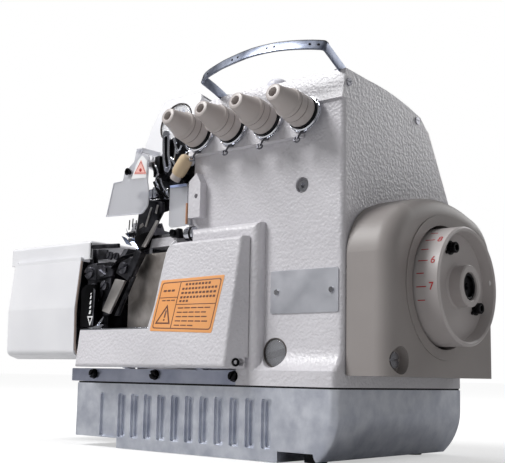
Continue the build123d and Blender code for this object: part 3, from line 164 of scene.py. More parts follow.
finishes = {
    # off-white hammer finish on the castings: pale, glossy, pebbled like orange skin
    "hammer_paint": hammer_enamel("hammer_finish_enamel", "#DCDADF", "#D0CED3", depth_mm=0.42,
                                  roughness=0.3),
    # smooth white enamel on the head cover and cloth plate
    "smooth_paint": smooth_enamel("smooth_white_enamel", "#EFEFF2", "#E6E6EA"),
    # warm grey ABS with a fine spark-eroded skin
    "moulded_grey": smooth_enamel("moulded_warm_grey_abs", "#A9A3A2", "#A19B9A", roughness=0.42,
                                  grain_mm=0.6, depth_mm=0.02, coat=0.0),
    # the handwheel's ABS, a lighter copy of the warm grey all over
    "wheel_grey": smooth_enamel("lighter_warm_grey_abs", "#BEB8B7", "#B5AFAE", roughness=0.38,
                                grain_mm=0.6, depth_mm=0.02, coat=0.0),
    # the motor cover's ABS, a shade darker and duller
    "cover_grey": smooth_enamel("moulded_dull_grey_abs", "#9E9896", "#96908E", roughness=0.45,
                                grain_mm=0.6, depth_mm=0.02, coat=0.0),
    # cream-grey moulded knobs, satin
    "cream_plastic": smooth_enamel("moulded_cream_abs", "#BEB6B3", "#B5ADAA", roughness=0.38,
                                   grain_mm=0.8, depth_mm=0.01, coat=0.1),
    # tan soft-touch grip
    "tan_plastic": smooth_enamel("moulded_tan_nylon", "#C9B394", "#BFA98A", roughness=0.45,
                                 grain_mm=0.9, depth_mm=0.02, coat=0.0),
    # sand-cast aluminium, brushed over: bright with darker clouds
    "cast_aluminium": bare_metal("brushed_cast_aluminium", "#E2E5ED", "#C8CCD8", roughness=0.5,
                                 grain_mm=(1.0, 1.0, 6.0), depth_mm=0.06, spot_mm=16.0),
    "zinc_steel": bare_metal("zinc_plated_steel", "#BFC3D3", "#A3A8BC", roughness=0.33,
                             grain_mm=(6.0, 0.6, 0.6), depth_mm=0.01),
    "chrome_plate": bare_metal("chrome_plated_steel", "#E8EAF0", "#C9CCD6", roughness=0.09, depth_mm=0.003),
    "bright_steel": bare_metal("ground_steel", "#C3C3C8", "#9A9AA1", roughness=0.24,
                               grain_mm=(0.3, 3.0, 0.3), depth_mm=0.006),
    "black_oxide": bare_metal("black_oxide_steel", "#2B2B2E", "#151517", roughness=0.35),
    "blackened_iron": bare_metal("blackened_cast_iron", "#4A4A4F", "#1D1D20", roughness=0.38,
                                 grain_mm=(0.8, 0.8, 0.8), depth_mm=0.04, spot_mm=12.0),
    "silver_plate": bare_metal("satin_anodised_plate", "#DCDDE4", "#CFD1D9", roughness=0.42,
                               grain_mm=(6.0, 0.3, 0.3), depth_mm=0.004),
    "bronze": bare_metal("sintered_bronze", "#B08A52", "#8A6638", roughness=0.4),
    "copper_winding": bare_metal("enamelled_copper_wire", "#9A5230", "#6E3A24", roughness=0.3),
    "black_rubber": smooth_enamel("moulded_black_rubber", "#202022", "#161618", roughness=0.7,
                                  grain_mm=0.8, depth_mm=0.02, coat=0.0),
    "clear_plastic": clear_moulding("clear_polycarbonate", "#F4F5FA"),
    # printed inks, flat and slightly glossy
    "white_ink": smooth_enamel("white_screen_ink", "#F4F4F4", "#EAEAEC", roughness=0.45, coat=0.0),
    "red_ink": smooth_enamel("red_screen_ink", "#B8262A", "#A82024", roughness=0.5, coat=0.0),
    "pale_red_ink": smooth_enamel("pale_red_screen_ink", "#F3BFB6", "#F0B5AB", roughness=0.5, coat=0.0),
    "brown_ink": smooth_enamel("brown_screen_ink", "#7A5142", "#6C4638", roughness=0.5, coat=0.0),
    # orange vinyl label, satin
    "orange_label": smooth_enamel("printed_orange_vinyl", "#F4B074", "#EFA564", roughness=0.4, grain_mm=2.0,
                                  depth_mm=0.01, coat=0.15),
    # painted shade: dark brown for the shade in the knobs' grooves and the thin dark lines on the chrome
    # window and gauge rims
    "shadow_brown": smooth_enamel("painted_groove_and_rim_shade", "#4A4240", "#3A3432", roughness=0.5, coat=0.0),
    "gauge_grey": smooth_enamel("oil_gauge_back", "#6E7074", "#606267", roughness=0.4, coat=0.0),
    # dark grey for the oil gauge's float band, and as painted shade for the guide bar's dark top edge
    "gauge_dark": smooth_enamel("gauge_float_and_painted_bar_edge_shade", "#3A3B40", "#2E3034", roughness=0.4, coat=0.0),
    "blue_tint": smooth_enamel("blue_polished_edge", "#AEB9DC", "#98A6D0", roughness=0.3, coat=0.0),
    "tan_edge": smooth_enamel("amber_moulded_edge", "#C99A7A", "#B98868", roughness=0.4, coat=0.0),
    "beige_core": smooth_enamel("beige_moulded_core", "#B7A69C", "#AA988E", roughness=0.5, coat=0.0),
    "pale_rim": smooth_enamel("pale_moulded_rim", "#DDDDE6", "#CFCFDA", roughness=0.35, coat=0.0),
    # milky wiped polycarbonate: lets some light through
    "milky_plastic": clear_moulding("milky_polycarbonate", "#F0F1F8", 0.25, solid=0.72),
    # turned, knurled and oiled steels
    "knurled_black": bare_metal("knurled_black_steel", "#3A3A3D", "#101012", roughness=0.45,
                                grain_mm=(0.5, 0.5, 0.5), depth_mm=0.12, spot_mm=2.0),
    "dark_steel": bare_metal("oiled_dark_steel", "#85858C", "#4E4E55", roughness=0.3, spot_mm=6.0),
    "satin_steel": bare_metal("satin_ground_steel", "#C9C5C2", "#AFABA9", roughness=0.34,
                              grain_mm=(0.3, 0.3, 3.0), depth_mm=0.006),
    "blue_steel": bare_metal("blued_spring_steel", "#AEBBD6", "#6F7FA3", roughness=0.2, spot_mm=8.0),
    "burnished_steel": bare_metal("burnished_chromed_steel", "#9DA3B2", "#6C7282", roughness=0.36,
                                  grain_mm=(0.5, 0.5, 4.0), depth_mm=0.01, spot_mm=14.0),
    # bright-annealed stainless sheet: mirror-like, with large darker brownish patches at random as painted
    # reflection
    "chip_guard_steel": bare_metal("bright_annealed_stainless", "#F2ECE8", "#B5ACA6", roughness=0.36,
                                   grain_mm=(3.0, 3.0, 0.4), depth_mm=0.01, spot_mm=34.0),
}

own_finish = {"chip_guard": "chip_guard_steel", "finger_guard": "milky_plastic", "lower_looper": "dark_steel",
              "upper_looper": "dark_steel", "handwheel": "wheel_grey", "motor_cover": "cover_grey",
              "oil_cap": "pale_rim"}
slot_of = {part["node"]: part["material_slot"] for part in frame["record"]["subparts"]}
for name, shape in nodes.items():
    shape.data.materials.clear()
    shape.data.materials.append(finishes[own_finish.get(name, slot_of[name])])


# ---------------------------------------------------------------- ways of making a piece
def stand(origin, out, right):
    """A placing matrix: local z runs along out and local x towards right; the origin is in millimetres."""
    out = Vector(out).normalized()
    right = Vector(right)
    right = (right - out * right.dot(out)).normalized()
    axes = Matrix((right, out.cross(right), out)).transposed().to_4x4()
    return Matrix.Translation(Vector(origin) * MM) @ axes


def front(y, x=0.0, z=0.0):
    """A place on a plane that faces the operator: local x is X and local y is Z."""
    return stand((x, y, z), (0, -1, 0), (1, 0, 0))


def side(x, y=0.0, z=0.0):
    """A place on a plane that faces right: local x is Y and local y is Z."""
    return stand((x, y, z), (1, 0, 0), (0, 1, 0))


def piece(name, body, finish, *meshes, slot=None, node=None, crease=32):
    """Join meshes into one piece with one finish, riding on a body and standing for a node if given one."""
    joined = bmesh.new()
    for mesh in meshes:
        joined.from_mesh(mesh)
    bmesh.ops.remove_doubles(joined, verts=joined.verts, dist=0.00001)
    bmesh.ops.recalc_face_normals(joined, faces=joined.faces)
    whole = bpy.data.meshes.new(name)
    joined.to_mesh(whole)
    joined.free()
    whole.materials.append(finishes[finish])
    for face in whole.polygons:
        face.use_smooth = True
    whole.set_sharp_from_angle(angle=radians(crease))
    made = bpy.data.objects.new(name, whole)
    bpy.context.scene.collection.objects.link(made)
    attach(made, body)
    if node:
        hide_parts(node)
    return made


def from_curve(curve, place):
    """The mesh of a curve, in its place."""
    holder = bpy.data.objects.new("holder", curve)
    bpy.context.scene.collection.objects.link(holder)
    mesh = bpy.data.meshes.new_from_object(holder.evaluated_get(bpy.context.evaluated_depsgraph_get()))
    mesh.transform(place)
    bpy.data.objects.remove(holder)
    return mesh


def spline(curve, points, closed, kind="POLY"):
    """Add one spline through points in millimetres."""
    line = curve.splines.new(kind)
    line.points.add(len(points) - 1)
    for point, spot in zip(line.points, points):
        point.co = (*(value * MM for value in spot), *([0.0] * (3 - len(spot))), 1.0)
    line.use_cyclic_u = closed
    if kind == "NURBS":
        line.order_u = 3
        line.use_endpoint_u = not closed
    line.resolution_u = 8
    return line


def plate(place, outline, thickness, edge=0.25, holes=()):
    """A flat plate on its place, rising by its thickness, with rounded edges and holes."""
    curve = bpy.data.curves.new("plate", "CURVE")
    curve.dimensions = "2D"
    curve.fill_mode = "BOTH"
    curve.extrude = (thickness / 2 - edge) * MM
    curve.bevel_depth = edge * MM
    curve.offset = -edge * MM
    curve.bevel_resolution = 2
    for ring in (outline, *holes):
        spline(curve, ring, True)
    return from_curve(curve, place @ Matrix.Translation((0, 0, thickness / 2 * MM)))


def strip(place, points, width, thickness, kind="NURBS"):
    """A bent strip: its line lies in the place's plane and its width runs square to that."""
    curve = bpy.data.curves.new("strip", "CURVE")
    curve.dimensions = "2D"
    curve.fill_mode = "NONE"
    curve.extrude = (width - thickness) / 2 * MM
    curve.bevel_depth = thickness / 2 * MM
    curve.bevel_resolution = 2
    spline(curve, points, False, kind)
    return from_curve(curve, place)


def wire(points, radius, kind="NURBS", place=Matrix()):
    """A round wire or rod along points in millimetres."""
    curve = bpy.data.curves.new("wire", "CURVE")
    curve.dimensions = "3D"
    curve.bevel_depth = radius * MM
    curve.bevel_resolution = 3
    curve.use_fill_caps = True
    spline(curve, points, False, kind)
    return from_curve(curve, place)


def turned(place, profile, steps=48):
    """A turned piece: the profile gives radius and height along local z."""
    made = bmesh.new()
    rings = []
    for radius, height in profile:
        count = 1 if radius == 0 else steps
        rings.append([made.verts.new((radius * cos(2 * pi * k / count) * MM,
                                      radius * sin(2 * pi * k / count) * MM,
                                      height * MM)) for k in range(count)])
    for lower, upper in zip(rings, rings[1:]):
        for k in range(steps):
            corners = [lower[k % len(lower)], lower[(k + 1) % len(lower)], upper[(k + 1) % len(upper)],
                       upper[k % len(upper)]]
            made.faces.new(list(dict.fromkeys(corners)))
    made.transform(place)
    mesh = bpy.data.meshes.new("turned")
    made.to_mesh(mesh)
    made.free()
    return mesh


def hull(points, edge=0.4):
    """A casting or forging: the hull of its corner points in millimetres, with broken edges."""
    made = bmesh.new()
    for spot in points:
        made.verts.new(Vector(spot) * MM)
    result = bmesh.ops.convex_hull(made, input=made.verts)
    bmesh.ops.delete(made, geom=[v for v in result["geom_interior"] if isinstance(v, bmesh.types.BMVert)],
                     context="VERTS")
    bmesh.ops.dissolve_limit(made, angle_limit=radians(2), verts=made.verts, edges=made.edges)
    if edge:
        bmesh.ops.bevel(made, geom=list(made.edges), offset=edge * MM, segments=2, affect="EDGES",
                        profile=0.5)
    mesh = bpy.data.meshes.new("hull")
    made.to_mesh(mesh)
    made.free()
    return mesh


def slab(near, far, outline, edge=0.4):
    """A hull between two Y planes with one outline in X and Z."""
    return hull([(x, y, z) for x, z in outline for y in (near, far)], edge)


def circle(radius, centre=(0.0, 0.0), steps=32, start=0.0, end=360.0):
    """Points round a circle, or round an arc where start and end are given."""
    count = steps if abs(end - start) >= 360 else steps + 1
    return [(centre[0] + radius * cos(radians(start + (end - start) * k / steps)),
             centre[1] + radius * sin(radians(start + (end - start) * k / steps))) for k in range(count)]


def rounded(corners, radius, steps=5):
    """An outline with its corners rounded."""
    made = []
    for k, corner in enumerate(corners):
        here, before, after = (Vector(corners[j % len(corners)]) for j in (k, k - 1, k + 1))
        reach_in = min(radius, (before - here).length / 2.2)
        reach_out = min(radius, (after - here).length / 2.2)
        first, last = here.lerp(before, reach_in / (before - here).length), here.lerp(after, reach_out /
                                                                                     (after - here).length)
        for j in range(steps + 1):
            t = j / steps
            made.append(tuple(first * (1 - t) ** 2 + here * 2 * t * (1 - t) + last * t ** 2))
    return made


def rectangle(width, height, radius=1.0, centre=(0.0, 0.0)):
    """A rectangle with rounded corners."""
    x, y = centre
    return rounded([(x - width / 2, y - height / 2), (x + width / 2, y - height / 2),
                    (x + width / 2, y + height / 2), (x - width / 2, y + height / 2)], radius)


def slotted_head(place, radius, height, turn=30.0, slot=0.9):
    """A slotted cheese head: a turned base with two half-moons on it."""
    half = [point for point in circle(radius, steps=24, start=12, end=168)]
    moons = []
    for flip in (0, 180):
        spun = place @ Matrix.Rotation(radians(turn + flip), 4, "Z")
        lifted = [(x, max(y, slot / 2)) for x, y in half]
        moons.append(plate(spun @ Matrix.Translation((0, 0, height * 0.45 * MM)), lifted, height * 0.55,
                           0.15))
    return [turned(place, ((0, 0), (radius, 0), (radius, height * 0.46), (0, height * 0.46)), 32), *moons]


def socket_head(place, radius, height, key):
    """A cap screw with a hexagonal socket."""
    return [turned(place, ((0, 0), (radius, 0), (radius, height - 0.5), (radius - 0.5, height),
                           (key * 1.2, height), (key * 1.2, height - 0.3)), 40),
            plate(place, circle(key * 1.25, steps=36), height - 0.25, 0.05, holes=[circle(key, steps=6)])]


# ---------------------------------------------------------------- thread guide bar over the knobs
bar_tilt = radians(22)
bar_out = Vector((0, -sin(bar_tilt), -cos(bar_tilt)))
bar_plane = stand((0, -72, 304.5), bar_out, (1, 0, 0))
bar_line = [(15.5, 1), (16.2, 16), (14.6, 32), (14.0, 35.4), (15.0, 37.2), (27, 41.6), (44, 46), (50, 47.2),
            (75, 51), (91, 51.6), (112, 50), (133, 44.6), (144.6, 40), (146.4, 38.6), (146.4, 36),
            (143.6, 11), (143, 1)]
bar_width = 9.0
bar_pieces = [strip(bar_plane, bar_line, bar_width, 1.7)]
for foot_x in (16.5, 142.5):
    bar_pieces.append(plate(stand((foot_x, -74, 305.4), (0, 0, 1), (1, 0, 0)), rectangle(9, 12, 3), 1.5,
                            holes=[circle(1.6, (0, 1))]))
piece("guide_bar", "frame", "burnished_steel", *bar_pieces, slot="chrome_plate", node="thread_guide_bar")
# painted shade: a dark matte strip along the burnished guide bar's top edge, where the steel only looks dark
piece("guide_bar_edge_shade", "frame", "gauge_dark",
      strip(bar_plane @ Matrix.Translation((0, 0, (0.4 - bar_width / 2) * MM)), bar_line[3:-2], 2.0, 1.84),
      slot="black_oxide")
hole_pieces = []
for first, last in ((4, 5), (7, 8), (9, 10), (11, 12)):
    start, end = Vector(bar_line[first]), Vector(bar_line[last])
    along = (end - start).normalized()
    for step in (-3.6, 3.6):
        spot = (start + end) / 2 + along * step + Vector((-along.y, along.x)) * 0.8
        facing = bar_plane.to_3x3() @ Vector((-along.y, along.x, 0))
        hole_pieces.append(turned(stand(bar_plane @ Vector((*(spot * MM), 0)) / MM, facing, (1, 0, 0)),
                                  ((0, -0.3), (1.15, -0.3), (1.15, 0.16), (0.75, 0.2), (0, 0.05)), 20))
piece("guide_bar_holes", "frame", "black_oxide", *hole_pieces)

# ---------------------------------------------------------------- tension knobs, discs and hooks
lean = radians(12)
apron_out = (0, -cos(lean), sin(lean))
knob_profile = ((3.3, 37), (3.4, 42.6), (4.0, 43.9), (5.6, 44), (6.9, 43.4), (7.5, 42), (7.8, 40), (8.5, 36),
                (11.0, 26.4), (11.5, 25.7), (12.0, 25.4), (12.3, 24.8), (12.35, 22.5), (12.0, 22.3),
                (12.0, 21.8), (12.4, 21.5), (12.8, 15.6), (12.45, 15.3), (12.45, 14.8), (12.9, 14.5),
                (13.4, 7.6), (13.1, 7), (3.3, 7))
knob_first = 2.0
knob_pitch = 38.3
knob_foot = (-91.9, 272.0)        # y and z where a stud leaves the apron
studs = [(knob_first + knob_pitch * k, *knob_foot) for k in range(4)]
discs, felts, hooks = [], [], []
for number, spot in enumerate(studs, 1):
    place = stand(spot, apron_out, (1, 0, 0))
    piece(f"knob_{number}", f"tension_{number}", "cream_plastic", turned(place, knob_profile, 64),
          node=f"tension_knob_{number}")
    # painted shade: dark brown rings laid in the cream knobs' grooves
    groove = [turned(place, ((12.1, z), (12.5 + rise, z), (12.5 + rise, z + 0.35), (12.1, z + 0.35)), 64)
              for z, rise in ((14.85, 0.0), (21.88, -0.4))]
    piece(f"knob_groove_shade_{number}", f"tension_{number}", "shadow_brown", *groove, slot="cream_plastic")
    discs += [turned(place, ((3.3, 0.5), (9, 0.5), (14.4, 1.3), (15.4, 2.0), (15.4, 2.6), (14.2, 2.2),
                             (9, 1.4), (3.3, 1.4)), 56),
              turned(place, ((3.3, 4.2), (9, 4.2), (14.2, 3.6), (15.0, 3.0), (15.0, 3.7), (14.2, 4.4), (9, 5),
                             (3.3, 5)), 56)]
    felts.append(turned(place, ((3.3, 5.0), (13.6, 5.0), (13.9, 5.4), (13.9, 6.4), (13.4, 6.9), (3.3, 6.9)),
                        56))
    hook_place = place @ Matrix.Translation((0, -15.5 * MM, 0))
    hooks += [wire([(1.5, 4, 0.8), (0.5, 0, 3), (-0.5, -4, 5), (-1.5, -7, 5.5)], 0.9, place=hook_place),
              wire([(-3.4, -5.5, 5), (-3.8, -8.5, 6.5), (-1.2, -10.5, 5.5), (0.8, -8, 4.5), (-0.6, -5.6, 5),
                    (-2.8, -6.4, 6.2)], 0.75, place=hook_place),
              wire([(-4.5, 6, 0.8), (-1, 1.8, 1.2), (4.5, 2.5, 1.4), (8, 6, 0.8)], 0.7, place=hook_place),
              plate(hook_place @ Matrix.Translation((0, 1.5 * MM, 0)), rectangle(5, 4, 1), 1.4)]
piece("tension_disc_pairs", "frame", "chrome_plate", *discs, node="tension_discs")
piece("tension_felts", "frame", "black_oxide", *felts)
piece("thread_hooks", "frame", "dark_steel", *hooks, slot="chrome_plate", node="thread_guides")

# ---------------------------------------------------------------- oil window and oil gauge
window_rise = 42.0              # how far up the lean of the cover the window sits
window_place = stand((-48.5, -83.5 + window_rise * sin(lean), 255 + window_rise * cos(lean)), apron_out,
                     (1, 0, 0))
# painted shade: the chrome window bezel drawn as a thin dark brown ring
piece("window_ring", "frame", "shadow_brown",
      turned(window_place, ((19.0, -1), (19.1, 0.7), (19.5, 0.9), (19.8, 0.7), (19.8, -1))),
      slot="chrome_plate", node="oil_window_bezel")
piece("window_back", "frame", "white_ink", turned(window_place,
                                                  ((0, -2.4), (18.9, -2.4), (18.9, -1.4), (0, -1.4)), 56),
      slot="clear_plastic")
nozzle = [wire([(x, y0, -1.3), (x + lean_x, y1, -1.3)], 0.35, place=window_place)
          for x, y0, lean_x, y1 in ((2, -8, -2.5, 14), (6, -6, -1.5, 14), (9, -4, 4, 13),
                                    (10.5, 2, -4, 12.5))]
piece("window_nozzle", "frame", "blue_tint", *nozzle, slot="chrome_plate")
gauge_place = front(-87.5, 85, 84)
piece("window_glass", "frame", "clear_plastic",
      turned(window_place, ((0, 0.9), (12, 0.7), (18.4, 0.1), (18.4, -0.6), (0, -0.6)), 56),
      node="sight_glasses")
# painted shade: the chrome gauge ring drawn as a dark brown ring
piece("gauge_ring", "frame", "shadow_brown",
      turned(gauge_place, ((11.9, -1.5), (11.9, 0.5), (11.4, 0.7), (10.9, 0.5), (10.9, -1.5))),
      slot="chrome_plate")
piece("gauge_back", "frame", "gauge_grey", turned(gauge_place,
                                                  ((0, -2.4), (10.9, -2.4), (10.9, -1.9), (0, -1.9)), 48),
      slot="clear_plastic")
piece("gauge_band", "frame", "gauge_dark",
      plate(gauge_place @ Matrix.Translation((0, 0, -1.9 * MM)) @ Matrix.Rotation(radians(12), 4, "Z"),
            rounded([(-10, -3.2), (10, -3.2), (9.8, 2.0), (-9.8, 2.0)], 0.5), 0.4, 0.05),
      slot="clear_plastic")
piece("gauge_glass", "frame", "clear_plastic",
      turned(gauge_place, ((0, 1.6), (5, 1.4), (9, 0.7), (10.9, -0.4), (10.9, -0.8), (0, -0.8)), 48))

# ---------------------------------------------------------------- handwheel scale, hub and screws
axle = (-5, 138)
drum_radius = 47.0
screw_ring = 32.0               # radius that the cap screws stand on


def on_drum(angle, x, lift=0.0):
    """A place on the handwheel's drum: local x runs along the shaft."""
    radius = drum_radius + lift
    return stand((x, axle[0] + radius * cos(radians(angle)), axle[1] + radius * sin(radians(angle))),
                 (0, cos(radians(angle)), sin(radians(angle))), (1, 0, 0))


marks = []
for step in range(-1, 6):
    angle = 134.3 + 12.5 * step
    long = step % 2 == 0
    marks.append(plate(on_drum(angle, 197 if long else 196, -0.02),
                       rectangle(8.5 if long else 6.5, 0.75, 0.3), 0.14, 0.02))
    if long:
        text = bpy.data.curves.new("numeral", "FONT")
        text.body = {0: "8", 2: "6", 4: "7"}[step]
        text.size = 8.2 * MM
        text.extrude = 0.06 * MM
        text.offset = 0.12 * MM
        text.align_x = "CENTER"
        text.align_y = "CENTER"
        marks.append(from_curve(text, on_drum(angle, 205.6, 0.08) @ Matrix.Shear("XY", 4, (0.15, 0))))
piece("wheel_scale", "drive", "red_ink", *marks, slot="moulded_grey")
piece("hub_plug", "drive", "knurled_black",
      turned(side(205.5, *axle), ((0, 0), (10.6, 0), (10.6, 6), (9.6, 6.6), (8.6, 6), (8.6, 4), (3, 4),
                                  (2.4, 2), (0, 2)), 40),
      slot="black_oxide")
dot_angle = radians(8.5)
piece("wheel_dot", "drive", "white_ink",
      turned(stand((206.5, axle[0] + 43.4 * cos(dot_angle), axle[1] + 43.4 * sin(dot_angle)),
                   (0, -cos(dot_angle), -sin(dot_angle)), (1, 0, 0)), ((0, 0.5), (2.7, 0.5), (2.7, -0.6)),
             32),
      slot="smooth_paint")
wheel_heads = []
for angle in (111.5, -28.5):
    spot = (axle[0] + screw_ring * cos(radians(angle)), axle[1] + screw_ring * sin(radians(angle)))
    wheel_heads += [turned(side(202.1, *spot), ((0, 0), (5.6, 0), (5.6, 1.0), (0, 1.0)), 36)]
    wheel_heads += socket_head(side(203, *spot), 4.4, 5.2, 2.4)
    wheel_heads += [hull([(202.2 + dx, spot[0] + dy, spot[1] + dz) for dx in (0, 1.6) for dy, dz in
                          ((-7.5, -4), (-6.5, -5.5), (-2, -3), (-3, 1))], 0.3)]
piece("wheel_cap_screws", "drive", "black_oxide", *wheel_heads, node="wheel_screws")

# ---------------------------------------------------------------- rail screws and cover hardware
rail_face = -97.0
rail_middle = 65.0
rail_heads = []
for screw_x, turn in ((-123, 35), (-42, -20), (50, 60)):
    rail_heads += slotted_head(front(rail_face, screw_x, rail_middle), 3.9, 3.4, turn)
    rail_heads.append(turned(front(rail_face + 0.1, screw_x, rail_middle),
                             ((0, 0), (4.6, 0), (4.6, 0.5), (0, 0.5)), 32))
piece("rail_screw_heads", "frame", "black_oxide", *rail_heads, node="rail_screws")
bevel_out = Vector((19.7, -8.5, 0)).normalized()
piece("cover_stop_screw", "looper_cover", "black_oxide",
      *socket_head(stand((61.2, -108.2, 76), bevel_out, (0, 0, 1)), 3.4, 0.9, 1.8))

# ---------------------------------------------------------------- front cover: label, edge and sill
cover_lean = 12.5               # how far the cover's face leans back over its height
cover_rise = 107.0
cover_front = -118.0
cover_foot = 71.0
cover_out = Vector((0, -cover_rise, cover_lean)).normalized()
slope_length = 1.0068           # length up the face for each millimetre of height


def on_cover(x, z, lift=0.05):
    """A point in millimetres on the front cover's face."""
    return Vector((x, cover_front + (z - cover_foot) * cover_lean / cover_rise, z)) + cover_out * lift


def cover_place(lift=0.02):
    """The front cover's face as a place: local x is X and local y runs up the face from its foot."""
    return stand(on_cover(0, cover_foot, lift), cover_out, (1, 0, 0))


def label_spot(u, v):
    """A point of the label from its own width and height, 0 to 1, as the cover's local x and y."""
    left, right = -32.1 + 7.7 * v, 40.5 + 8.3 * v
    low, high = 101.9 - 2.8 * u, 145.2 + 1.2 * u
    return left + (right - left) * u, (low + (high - low) * v - cover_foot) * slope_length


def label_box(u0, v0, u1, v1, radius=1.0):
    """A box on the label in its slanted lines."""
    return rounded([label_spot(*uv) for uv in ((u0, v0), (u1, v0), (u1, v1), (u0, v1))], radius)


def label_mark(outline, holes=()):
    """Ink printed on the label."""
    return plate(cover_place(0.2), outline, 0.08, 0.01, holes)


piece("caution_label", "looper_cover", "orange_label", plate(cover_place(), label_box(0, 0, 1, 1, 1.5), 0.2,
                                                             0.05),
      slot="smooth_paint")
label_ink = [label_mark(label_box(0.03, 0.05, 0.97, 0.95, 3), [label_box(0.042, 0.07, 0.958, 0.93, 2.6)]),
             label_mark(label_box(0.33, 0.06, 0.342, 0.94, 0.1)),
             label_mark(label_box(0.34, 0.5, 0.96, 0.515, 0.1)),
             label_mark(label_box(0.04, 0.64, 0.34, 0.655, 0.1)),
             label_mark(rounded([label_spot(0.06, 0.14), label_spot(0.31, 0.14), label_spot(0.2, 0.52)], 0.8),
                        [rounded([label_spot(0.092, 0.17), label_spot(0.277, 0.17), label_spot(0.197, 0.45)],
                                 0.5)]),
             label_mark([label_spot(0.185, 0.26), label_spot(0.208, 0.26), label_spot(0.212, 0.4),
                                      label_spot(0.188, 0.4)]),
             label_mark([label_spot(0.185, 0.2), label_spot(0.208, 0.2), label_spot(0.208, 0.235),
                                      label_spot(0.185, 0.235)])]
dash_gap = 0.016
for row, (v, start, count, dash) in enumerate(((0.86, 0.42, 8, 0.035), (0.78, 0.38, 11, 0.035),
                                               (0.70, 0.38, 10, 0.04), (0.62, 0.38, 11, 0.035),
                                               (0.55, 0.38, 3, 0.035), (0.43, 0.38, 5, 0.09),
                                               (0.35, 0.38, 5, 0.08), (0.27, 0.38, 5, 0.085),
                                               (0.19, 0.38, 5, 0.09), (0.11, 0.38, 3, 0.09),
                                               (0.76, 0.08, 3, 0.05), (0.58, 0.09, 3, 0.06))):
    for k in range(count):
        u = start + k * (dash + dash_gap)
        label_ink.append(label_mark(label_box(u, v, u + dash, v + (0.04 if row < 5 or row == 10 else 0.022),
                                              0.3)))
piece("caution_label_ink", "looper_cover", "brown_ink", *label_ink, slot="smooth_paint")
edge_line = [on_cover(x, z, -0.6) for x, z in ((-34.6, 104.4), (-34.0, 108), (-29.6, 121), (-26.5, 144),
                                               (-22.8, 169), (-19.5, 175.5), (-14.5, 179.5))]
piece("cover_edge", "looper_cover", "smooth_paint", wire(edge_line, 0.9))
piece("cover_sill", "looper_cover", "chrome_plate",
      hull([(x, y, z) for x in (-126, -36.5) for y, z in ((-113.4, 103.2), (-113.2, 105.2), (-106.5, 106.4),
                                                          (-106.5, 105.2))],
           0.3))

# ---------------------------------------------------------------- cloth plate edges
panel_end = [(-101.2, 170.5), (-101.6, 165), (-106.2, 126), (-105.1, 90), (-103.2, 84), (-98, 80.6),
             (-93.4, 79.4)]
piece("cloth_plate_core", "cloth_cover", "beige_core", strip(side(-143.1), panel_end, 2.2, 2.2),
      slot="smooth_paint")
piece("cloth_plate_liner", "cloth_cover", "blackened_iron",
      plate(side(-147.0), rounded([(-98.5, 170.5), (-103.4, 126), (-102.6, 88), (-94, 82.5), (-64, 82.5),
                                   (-64, 170.5)], 2), 2.0),
      slot="black_rubber")
piece("cloth_plate_seal", "cloth_cover", "black_rubber",
      plate(side(-135.4), rounded([(-98.0, 173.2), (-98.0, 187.6), (-50, 188.2), (-50, 173.2)], 0.8), 1.2))
piece("cloth_plate_shadow_gap", "cloth_cover", "black_rubber",
      hull([(x, y, z) for x in (-246, -143.5) for y in (-101.5, -99.6) for z in (171.9, 173.0)], 0.2))

# ---------------------------------------------------------------- looper housing, latch and knife
heads = []
for x, z, radius, turn in ((-133.2, 158.9, 5.6, 10), (-113.9, 159.5, 5.2, -30), (-110.9, 145.8, 4.2, 40),
                           (-126, 146, 2.6, 0), (-104.6, 173.2, 3.8, 60), (-121, 133, 2.2, 20)):
    heads += slotted_head(front(-98.2, x, z), radius, 2.8, turn)
piece("housing_screws", "frame", "dark_steel", *heads, slot="blackened_iron")
housing = [slab(-98.6, -95, [(-139, 166.5), (-124, 168), (-124, 151.5), (-139, 152.5)], 1.2),
           slab(-99.4, -95, [(-124, 166), (-99, 163), (-101, 154), (-122, 152)], 1.2),
           slab(-97.8, -95, [(-116, 152), (-104, 154), (-106, 118), (-114, 118)], 1.0),
           slab(-97.2, -95, [(-138.5, 150), (-124, 150), (-124, 141), (-138.5, 141)], 0.8),
           slab(-97.0, -94, [(-138, 186), (-97, 184.5), (-97, 180.5), (-138, 182)], 0.8),
           slab(-96.5, -94, [(-126, 181), (-113, 180), (-113, 171), (-126, 171)], 0.8),
           slab(-96.0, -90, [(-138, 181.5), (-132, 181.5), (-132, 168), (-138, 168)], 0.6),
           turned(front(-97.0, -105.5, 126), ((0, 0), (5.5, 0), (5.5, 3.5), (4.6, 4.4), (0, 4.4)), 40)]
piece("housing_bosses", "frame", "blackened_iron", *housing)
piece("housing_plate", "frame", "chrome_plate",
      hull([(-138.5, -104.6, 104.6), (-112, -104.6, 104.6), (-107, -103.2, 110), (-112, -101.6, 108),
            (-138.5, -101.8, 106.6), (-107.5, -100.5, 109)], 0.3),
      hull([(-116, -104.2, 108), (-108, -104.0, 112.5), (-106, -102.5, 118), (-109, -101.5, 112),
            (-116, -101.5, 107)], 0.3))
latch_ink = [plate(front(-104.2), rounded([(-127.8, 117.5), (-119.6, 117.5), (-123.6, 108.4)], 0.4), 0.12,
                   0.02, [rounded([(-126.2, 116.2), (-121.3, 116.2), (-123.6, 111.2)], 0.3)])]
for k, (z0, z1) in enumerate(((119.5, 123), (124.5, 127), (128.5, 132), (133.5, 136.5), (137.5, 139))):
    latch_ink.append(plate(front(-104.2), rounded([(-126.0 + 0.25 * k, z0), (-123.4, z0), (-122.6, z1),
                                                   (-124.8 + 0.2 * k, z1)],
                                                  0.5), 0.12, 0.02))
piece("latch_marks", "latch", "white_ink", *latch_ink, slot="black_oxide")
piece("latch_cheek", "latch", "dark_steel",
      slab(-104.3, -103.9, [(-119.3, 109), (-117.9, 141), (-120.4, 143.5), (-121.2, 109)], 0.1),
      slot="black_oxide")
